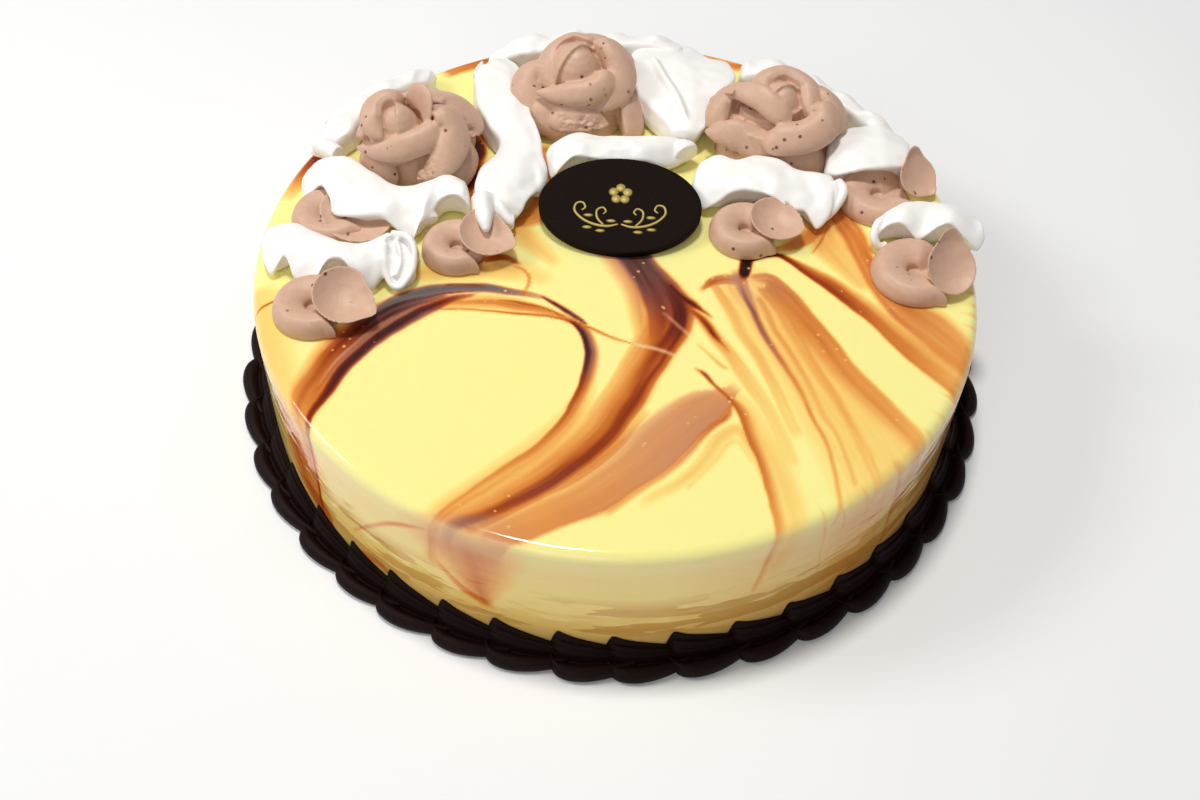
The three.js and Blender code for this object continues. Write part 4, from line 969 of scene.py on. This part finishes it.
# Each has its back line and its lip, as x, y and height on the cake, and curls at its ends and folds, as
# x, y, height and radius.
RUFFLES = {
    "front_left": (
        [(-98, 0, 7.4), (-91, 0, 8), (-84, -3, 8), (-76, -6, 8), (-69, -6, 8.6), (-63, -2, 9.4)],
        [(-99.5, -5, 6), (-97.8, -11, 3.6), (-95, -14.5, 2.6), (-91.4, -11.5, 7), (-88.4, -16.5, 4.4),
         (-83.5, -18.4, 2.4), (-79.6, -14, 7.6), (-75.2, -14, 9), (-71.5, -17, 6.4), (-67, -18.8, 2.6),
         (-64, -14.5, 4.6)],
        [[(-63, -3.4, 8.6, 1.4), (-58.6, -4.4, 9, 1.3), (-56, -8.6, 7.8, 1.2), (-56.2, -13.4, 4.8, 1.1),
          (-59.2, -17.2, 2.2, 1), (-62.2, -16.4, 2.6, 1.1), (-64, -11.8, 5.6, 1.4), (-64.4, -7, 8, 1.4)],
         [(-60, -4.4, 0.5, 4.6), (-60, -7.2, 6.6, 4.6)], [(-60, -10.4, -1.5, 4.4), (-60, -13.2, 4.2, 4.2)],
         [(-61.4, -5.6, 8.6, 0.8), (-60, -9, 7.6, 0.9), (-59.6, -12, 6.2, 0.9), (-60.6, -15.4, 4.2, 0.8)]],
    ),
    "middle_left": (
        [(-86, 28.5, 8.4), (-79, 27, 9.6), (-72, 21.5, 9.6), (-65, 17.5, 9), (-57, 18, 9.4), (-50, 22, 9.4),
         (-43.5, 19.5, 8.6)],
        [(-90.5, 25, 8), (-92.5, 20, 5.4), (-91, 16.5, 3), (-86, 16.5, 8), (-82.5, 11, 8.6), (-81, 6.6, 6.4),
         (-74.5, 5.2, 7.2), (-67, 5.4, 7.4), (-62, 3.4, 4), (-58, 1.6, 2.8), (-56, 4.5, 6.4), (-53.6, 8, 6),
         (-51, 12.5, 8), (-46.6, 13.5, 9), (-42.5, 11.5, 7)],
        [[(-54.6, 11, 4, 1.8), (-53.6, 8.6, 3.8, 2.3), (-53.2, 7.8, 3.6, 2)]],
    ),
    "left_of_centre": (
        [(-46.6, 73, 9), (-45.4, 65, 10.4), (-43.4, 55, 10), (-40, 47, 9.4), (-36, 40.5, 8.4),
         (-36.6, 34, 8.6), (-40, 27, 9), (-41.2, 19, 8.4), (-40.6, 12, 7)],
        [(-40, 81, 8), (-34, 76, 8), (-30.4, 66, 8.4), (-29.4, 58, 9), (-27.4, 50, 9), (-24.6, 42, 8.4),
         (-23.6, 34.6, 8), (-22, 28, 6.4), (-24, 21.6, 5.4), (-26.4, 16.6, 6.2), (-28.4, 10.6, 4.6)],
        [[(-39.4, 15, 6.4, 3.4), (-39, 10.4, 7.2, 3.2), (-38, 5.6, 7.4, 2.4), (-37.2, 1.6, 6.6, 0.9)],
         [(-35.5, 14, 5.4, 3), (-32, 9.6, 3.8, 2.6), (-29.8, 9.4, 3.4, 2.2)],
         [(-27.4, 37, 6.4, 2.6), (-25.6, 31.4, 5.4, 3), (-24, 26, 4.4, 2.8), (-25.6, 21.6, 3.4, 2.4)],
         [(-45.6, 69, 8, 2), (-45.4, 73.4, 8.4, 1.1), (-45, 77, 8, 0.5)]],
    ),
    "front_centre": (
        [(-21, 41, 7), (-14, 43.6, 9.4), (-6, 42.6, 9.6), (3, 43, 9.6), (10, 43.6, 9.4), (18, 44.5, 8)],
        [(-22.6, 36, 8), (-20.6, 30, 3), (-17.4, 30.4, 7), (-13.6, 32.6, 9.2), (-8, 32.8, 8.4),
         (0, 33.4, 7.4), (7, 34, 7.4), (12, 35, 5), (17, 38, 4), (21.5, 42.5, 6)],
        [[(16.6, 43, 5.4, 3.4), (19, 41.2, 4.8, 4.4), (19.6, 40.4, 4.6, 4)]],
    ),
    "right_of_centre": (
        [(4, 91, 7), (3, 83, 9), (3.4, 75, 10), (4.4, 67, 10), (8.6, 59, 9.6), (13, 52, 9), (15.6, 46, 8)],
        [(20, 96.5, 3.6), (26.4, 89, 4.4), (32.4, 82.6, 7), (34, 74, 8.4), (31, 66, 9), (29.4, 58, 6.8),
         (25.4, 51, 7.6), (21.8, 46, 6)],
        [[(8.6, 80, 10, 1.4), (12, 70, 10.4, 1.6), (16.4, 60, 10, 1.5), (19.4, 51, 8.6, 1.2)]],
    ),
    "front_right": (
        [(22.5, 33.4, 8), (28, 36, 9.4), (34, 34, 9.6), (40, 36.6, 9.6), (46, 35.4, 9.6), (52, 32, 9),
         (58, 30.6, 9), (63, 30, 8)],
        [(20.5, 27.5, 6), (23.5, 19.8, 3.4), (27.6, 19.8, 4.8), (32.6, 22.2, 7.4), (38, 22, 8.8),
         (44, 20, 8.6), (49.3, 17.6, 6.4), (53.6, 17.6, 5.8), (57, 13.8, 3), (60.6, 17, 4.8),
         (62.2, 21, 6.4)],
        [[(63.6, 29, 7, 1.5), (65, 25.4, 6.6, 1.6), (63.2, 21, 4.6, 1.4), (59.4, 17.6, 2, 0.9)],
         [(62, 28, 6, 2.8), (62.2, 24.4, 5, 2.8), (60.4, 20.4, 3, 2)]],
    ),
    "right": (
        [(61.5, 46, 7), (69, 52, 9), (79, 53, 9), (87.4, 48, 7)],
        [(60.4, 34.6, 5), (64.4, 32, 8), (72.4, 33.2, 9.4), (79, 34.6, 9), (85.6, 37, 7)],
        [],
    ),
    "far_right": (
        [(76, 16, 8.4), (82, 19.6, 9.4), (89, 20.5, 9), (97, 19.5, 9), (104.6, 16, 6.4)],
        [(73.6, 13, 7.4), (73.2, 9, 4), (76.4, 10.6, 7.6), (80.6, 10.8, 8.6), (85.6, 8.4, 5.4),
         (90, 9.6, 8.6), (94, 10.6, 9.6), (98, 8.2, 7), (102.6, 7.2, 3.4), (105.6, 11, 5)],
        [[(77, 14.4, 6.6, 1.6), (74, 12.4, 6.4, 1.5), (73.2, 9, 4, 1.4), (75, 7.8, 2, 1.3), (77, 9, 2.4, 1)]],
    ),
    "back_left": (
        [(-82, 38.5, 7.4), (-79, 47, 9), (-74, 55, 9.4), (-67, 62.5, 9), (-60, 68, 7)],
        [(-88, 33, 4), (-93, 37, 3.4), (-88.5, 43.5, 8.4), (-90, 50, 4), (-83, 54, 8.6), (-82.5, 61.5, 4.4),
         (-75, 63, 8.8), (-73, 71, 4.4), (-66, 70.5, 8.4), (-63.5, 76, 4.4), (-58.5, 73, 6)],
        [[(-83.4, 32, 6, 2.6), (-88, 35.5, 5.4, 3), (-91, 37, 4.6, 2.4)]],
    ),
    "back_centre": (
        [(-43.6, 76.5, 7.6), (-36, 80, 9), (-27, 83, 9.4), (-17, 86, 9.4), (-5, 87, 9.4), (8, 88, 9),
         (18, 86.5, 7)],
        [(-44, 84, 4), (-41.4, 88.6, 3), (-35.6, 90, 7), (-29, 91.5, 8.6), (-24, 96, 4.2), (-16.5, 94.5, 8.8),
         (-10, 97.6, 4.2), (-3, 95, 8.6), (4, 98, 4), (11, 94.5, 8.4), (17, 96, 4), (20.5, 91, 5)],
        [],
    ),
    "back_right": (
        [(36, 78, 7), (46, 77, 9), (56, 72, 9.4), (65, 64.5, 9.4), (73, 56, 8.4), (80, 49, 7)],
        [(37, 87.5, 5), (43, 89.4, 4), (48, 84, 8.8), (57, 81.5, 4.2), (60, 76.5, 8.8), (68, 72.6, 4.2),
         (70, 68, 8.8), (77.5, 63, 4.2), (78.5, 59, 8.6), (84.4, 54, 4.2), (85, 50.5, 7), (88, 46, 5)],
        [],
    ),
}


def ruffle(back, lip):
    """A ribbon from its back line to its lip."""
    backs, lips = smooth_line(back, 0.05), smooth_line(lip, 0.05)
    length = np.concatenate([[0], np.cumsum(np.linalg.norm(np.diff(backs, axis=0), axis=1))])
    share = np.linspace(0, 1, int(length[-1] / 0.35))
    backs = np.column_stack([np.interp(share, length / length[-1], backs[:, k]) for k in range(3)])
    lips = np.column_stack([np.interp(share, np.linspace(0, 1, len(lips)), lips[:, k]) for k in range(3)])
    rings = []
    for part, start, end in zip(share, backs, lips):
        middle = (start[2] + end[2]) / 2 + BULGE
        under = max(0.2, min(middle - LIP * 1.6, end[2] - LIP))
        outline = closed_curve([
            (-0.06, 0), (-0.08, start[2] - 2.4), (-0.02, start[2] - 0.5), (0.12, start[2] + 0.1),
            (0.36, (start[2] + middle) / 2 + 0.3), (0.62, middle), (0.86, (end[2] + middle) / 2),
            (1, end[2] + 0.35), (1.03, end[2] - LIP * 0.5), (0.97, end[2] - LIP), (0.86, under), (0.76, 0),
        ], 44)
        end_share = min(1, math.sqrt(max(0.01, min(part, 1 - part) / 0.03)))
        out = 0.45 + (outline[:, 0] - 0.45) * (0.75 + 0.25 * end_share)
        up = (outline[:, 1] * (0.6 + 0.4 * end_share)).clip(0) + CAKE_HEIGHT
        rings.append(np.column_stack([
            start[0] + (end[0] - start[0]) * out, start[1] + (end[1] - start[1]) * out, up,
        ]))
    return tube(rings)


def curl(stations):
    """A round roll of cream along stations of x, y, height and radius."""
    line = smooth_line(stations, 0.4)
    ahead = np.gradient(line[:, :3], axis=0)
    ahead /= np.linalg.norm(ahead, axis=1)[:, None]
    aside = np.cross(ahead, (0.1, 0.2, 1))
    aside /= np.linalg.norm(aside, axis=1)[:, None]
    above = np.cross(aside, ahead)
    turn = np.radians(np.arange(0, 360, 15))
    rings = []
    for (x, y, z, radius), one, other in zip(line, aside, above):
        circle = np.outer(np.cos(turn), one) + np.outer(np.sin(turn), other)
        rings.append((x, y, z + CAKE_HEIGHT) + radius * circle)
    return tube(rings)


white, paint, place = finish("white_cream")
soft = noise(place, 160, 3)
tone = mixed(soft, linear((247, 246, 243)), linear((253, 252, 250)))
surface(paint, Base_Color=tone, Roughness=0.38, Normal=bump(soft, 0.3, 0.0006))
for name, (back, lip, curls) in RUFFLES.items():
    points, faces = joined([ruffle(back, lip)] + [curl(stations) for stations in curls])
    points[:, 2] = points[:, 2].clip(CAKE_HEIGHT)
    made = piece(f"piped_{name}_ruffle", points, faces, white, ["ruffle_" + name])
    roughened(fused(made, RUFFLE_SKIN, 3), [(0, 0, CAKE_HEIGHT, 1000)], 0.5, 6, 41)


# The plaque: an oval of dark chocolate, moulded thin, that leans on the ruffle behind it. A flower and
# two sprigs with leaves are laid on it in gold.
PLAQUE_WIDTH = 47
PLAQUE_DEPTH = 32
PLAQUE_THICKNESS = 2.4
PLAQUE_TILT = math.radians(15)
PLAQUE_CENTRE = (0.2, 15.6)
PLAQUE_RINGS = [(1, -0.5), (1, 0.35), (0.995, 0.45), (0.98, 0.5), (0.9, 0.5)]
FLOWER_CENTRE = 3.6
FLOWER_RADIUS = 2.1
SPRIG = [
    (0.4, -6.6, 0.28), (3.6, -7.4, 0.4), (7.4, -6.9, 0.42), (10.8, -5.2, 0.4), (13, -2.6, 0.36),
    (12.6, -0.2, 0.34), (10.8, 0.2, 0.32), (10, -1.4, 0.3), (11, -2.4, 0.26),
]
TENDRIL = [
    (4.6, -7, 0.3), (6.4, -4.8, 0.34), (6.6, -2.2, 0.32), (5, -1.2, 0.3), (4, -2.4, 0.28), (4.8, -3.4, 0.22),
]
SPRIG_LEAVES = [(2.4, -5.6), (5.4, -9), (9.2, -8), (9, -4)]

dark, paint, place = finish("moulded_dark_chocolate")
tone = mixed(noise(place, 1500, 2), linear((19, 11, 9)), linear((31, 22, 18)))
surface(paint, Base_Color=tone, Roughness=0.75, Specular_IOR_Level=0.06)
turn = np.radians(np.arange(0, 360, 3))
rings = []
for size, up in PLAQUE_RINGS:
    x, y = size * PLAQUE_WIDTH / 2 * np.cos(turn), size * PLAQUE_DEPTH / 2 * np.sin(turn)
    rings.append(np.column_stack([x, y, np.full(len(turn), up * PLAQUE_THICKNESS)]))
points, faces = tube(rings)
rise = PLAQUE_DEPTH / 2 * math.sin(PLAQUE_TILT) + PLAQUE_THICKNESS / 2 * math.cos(PLAQUE_TILT)
leaning = np.array(Matrix.Rotation(PLAQUE_TILT, 3, "X")).T
middle = (*PLAQUE_CENTRE, CAKE_HEIGHT + rise)
piece("chocolate_plaque", points @ leaning + middle, faces, dark, ["plaque"])

gold, paint, _ = finish("edible_gold")
surface(paint, Base_Color=linear((172, 152, 78)), Roughness=0.45, Metallic=0.25)
parts = []
for turn in np.radians(np.arange(90, 450, 72)):
    x, y = FLOWER_RADIUS * math.cos(turn), FLOWER_CENTRE + FLOWER_RADIUS * math.sin(turn)
    parts.append(mound(x, y, 1.5, 1.5, 0.75, 0.45))
for side in (-1, 1):
    for line in (SPRIG, TENDRIL):
        points, faces = curl([(side * x, y, 0.1, size) for x, y, size in line])
        parts.append((points - (0, 0, CAKE_HEIGHT), faces))
    parts += [mound(side * x, y, 1.5, 0.62, 0.6, 0.4) for x, y in SPRIG_LEAVES]
points, faces = joined(parts)
points = points * (1, 1, 0.6) + (0, 0, PLAQUE_THICKNESS / 2)
piece("gold_flourish", points @ leaning + middle, faces, gold, ["plaque"])


# The studio: a wide pale floor, a lamp above, one at the left, a broad weak one in front, a pale sky that
# fills the shadows, and the camera.
CAMERA_PITCH = math.radians(50.3)
CAMERA_ROLL = math.radians(2.68)

floor_mesh = bpy.data.meshes.new("floor")
floor_mesh.from_pydata([(-3, -3, 0), (3, -3, 0), (3, 3, 0), (-3, 3, 0)], [], [(0, 1, 2, 3)])
floor = bpy.data.objects.new("floor", floor_mesh)
bpy.context.scene.collection.objects.link(floor)
pale, paint, place = finish("pale_floor")
mottle = mixed(noise(place, 6, 2), linear((240, 243, 246)), linear((246, 248, 250)))
surface(paint, Base_Color=mottle, Roughness=0.7)
floor_mesh.materials.append(pale)


def lamp(name, place, target, size, watts, tint):
    light = bpy.data.lights.new(name, "AREA")
    light.shape = "DISK"
    light.size = size
    light.energy = watts
    light.color = tint
    made = bpy.data.objects.new(name, light)
    made.location = place
    made.rotation_euler = (Vector(target) - Vector(place)).to_track_quat("-Z", "Y").to_euler()
    bpy.context.scene.collection.objects.link(made)


lamp("key", (-0.12, 0.22, 1.28), (0, 0, 0.04), 0.2, 8.9, (1, 0.98, 0.95))
lamp("side", (-0.95, 0.05, 0.85), (0, 0, 0.04), 0.4, 4.8, (1, 0.98, 0.95))
lamp("front_fill", (-0.3, -1.1, 0.9), (0, 0, 0.03), 0.8, 3.2, (1, 0.96, 0.9))
world = bpy.data.worlds.new("studio")
world.use_nodes = True
sky = world.node_tree.nodes["Background"].inputs
sky["Color"].default_value = (0.99, 0.97, 0.96, 1)
sky["Strength"].default_value = 0.24
bpy.context.scene.world = world
bpy.context.scene.view_settings.view_transform = "Standard"

camera = bpy.data.objects.new("camera", bpy.data.cameras.new("camera"))
bpy.context.scene.collection.objects.link(camera)
bpy.context.scene.camera = camera
camera.location = (-0.003, -0.285, 0.324)
facing = Matrix.Rotation(math.pi / 2 - CAMERA_PITCH, 4, "X")
camera.rotation_euler = (facing @ Matrix.Rotation(CAMERA_ROLL, 4, "Z")).to_euler()
camera.data.lens = 42
camera.data.sensor_width = 36
camera.data.clip_start = 0.01
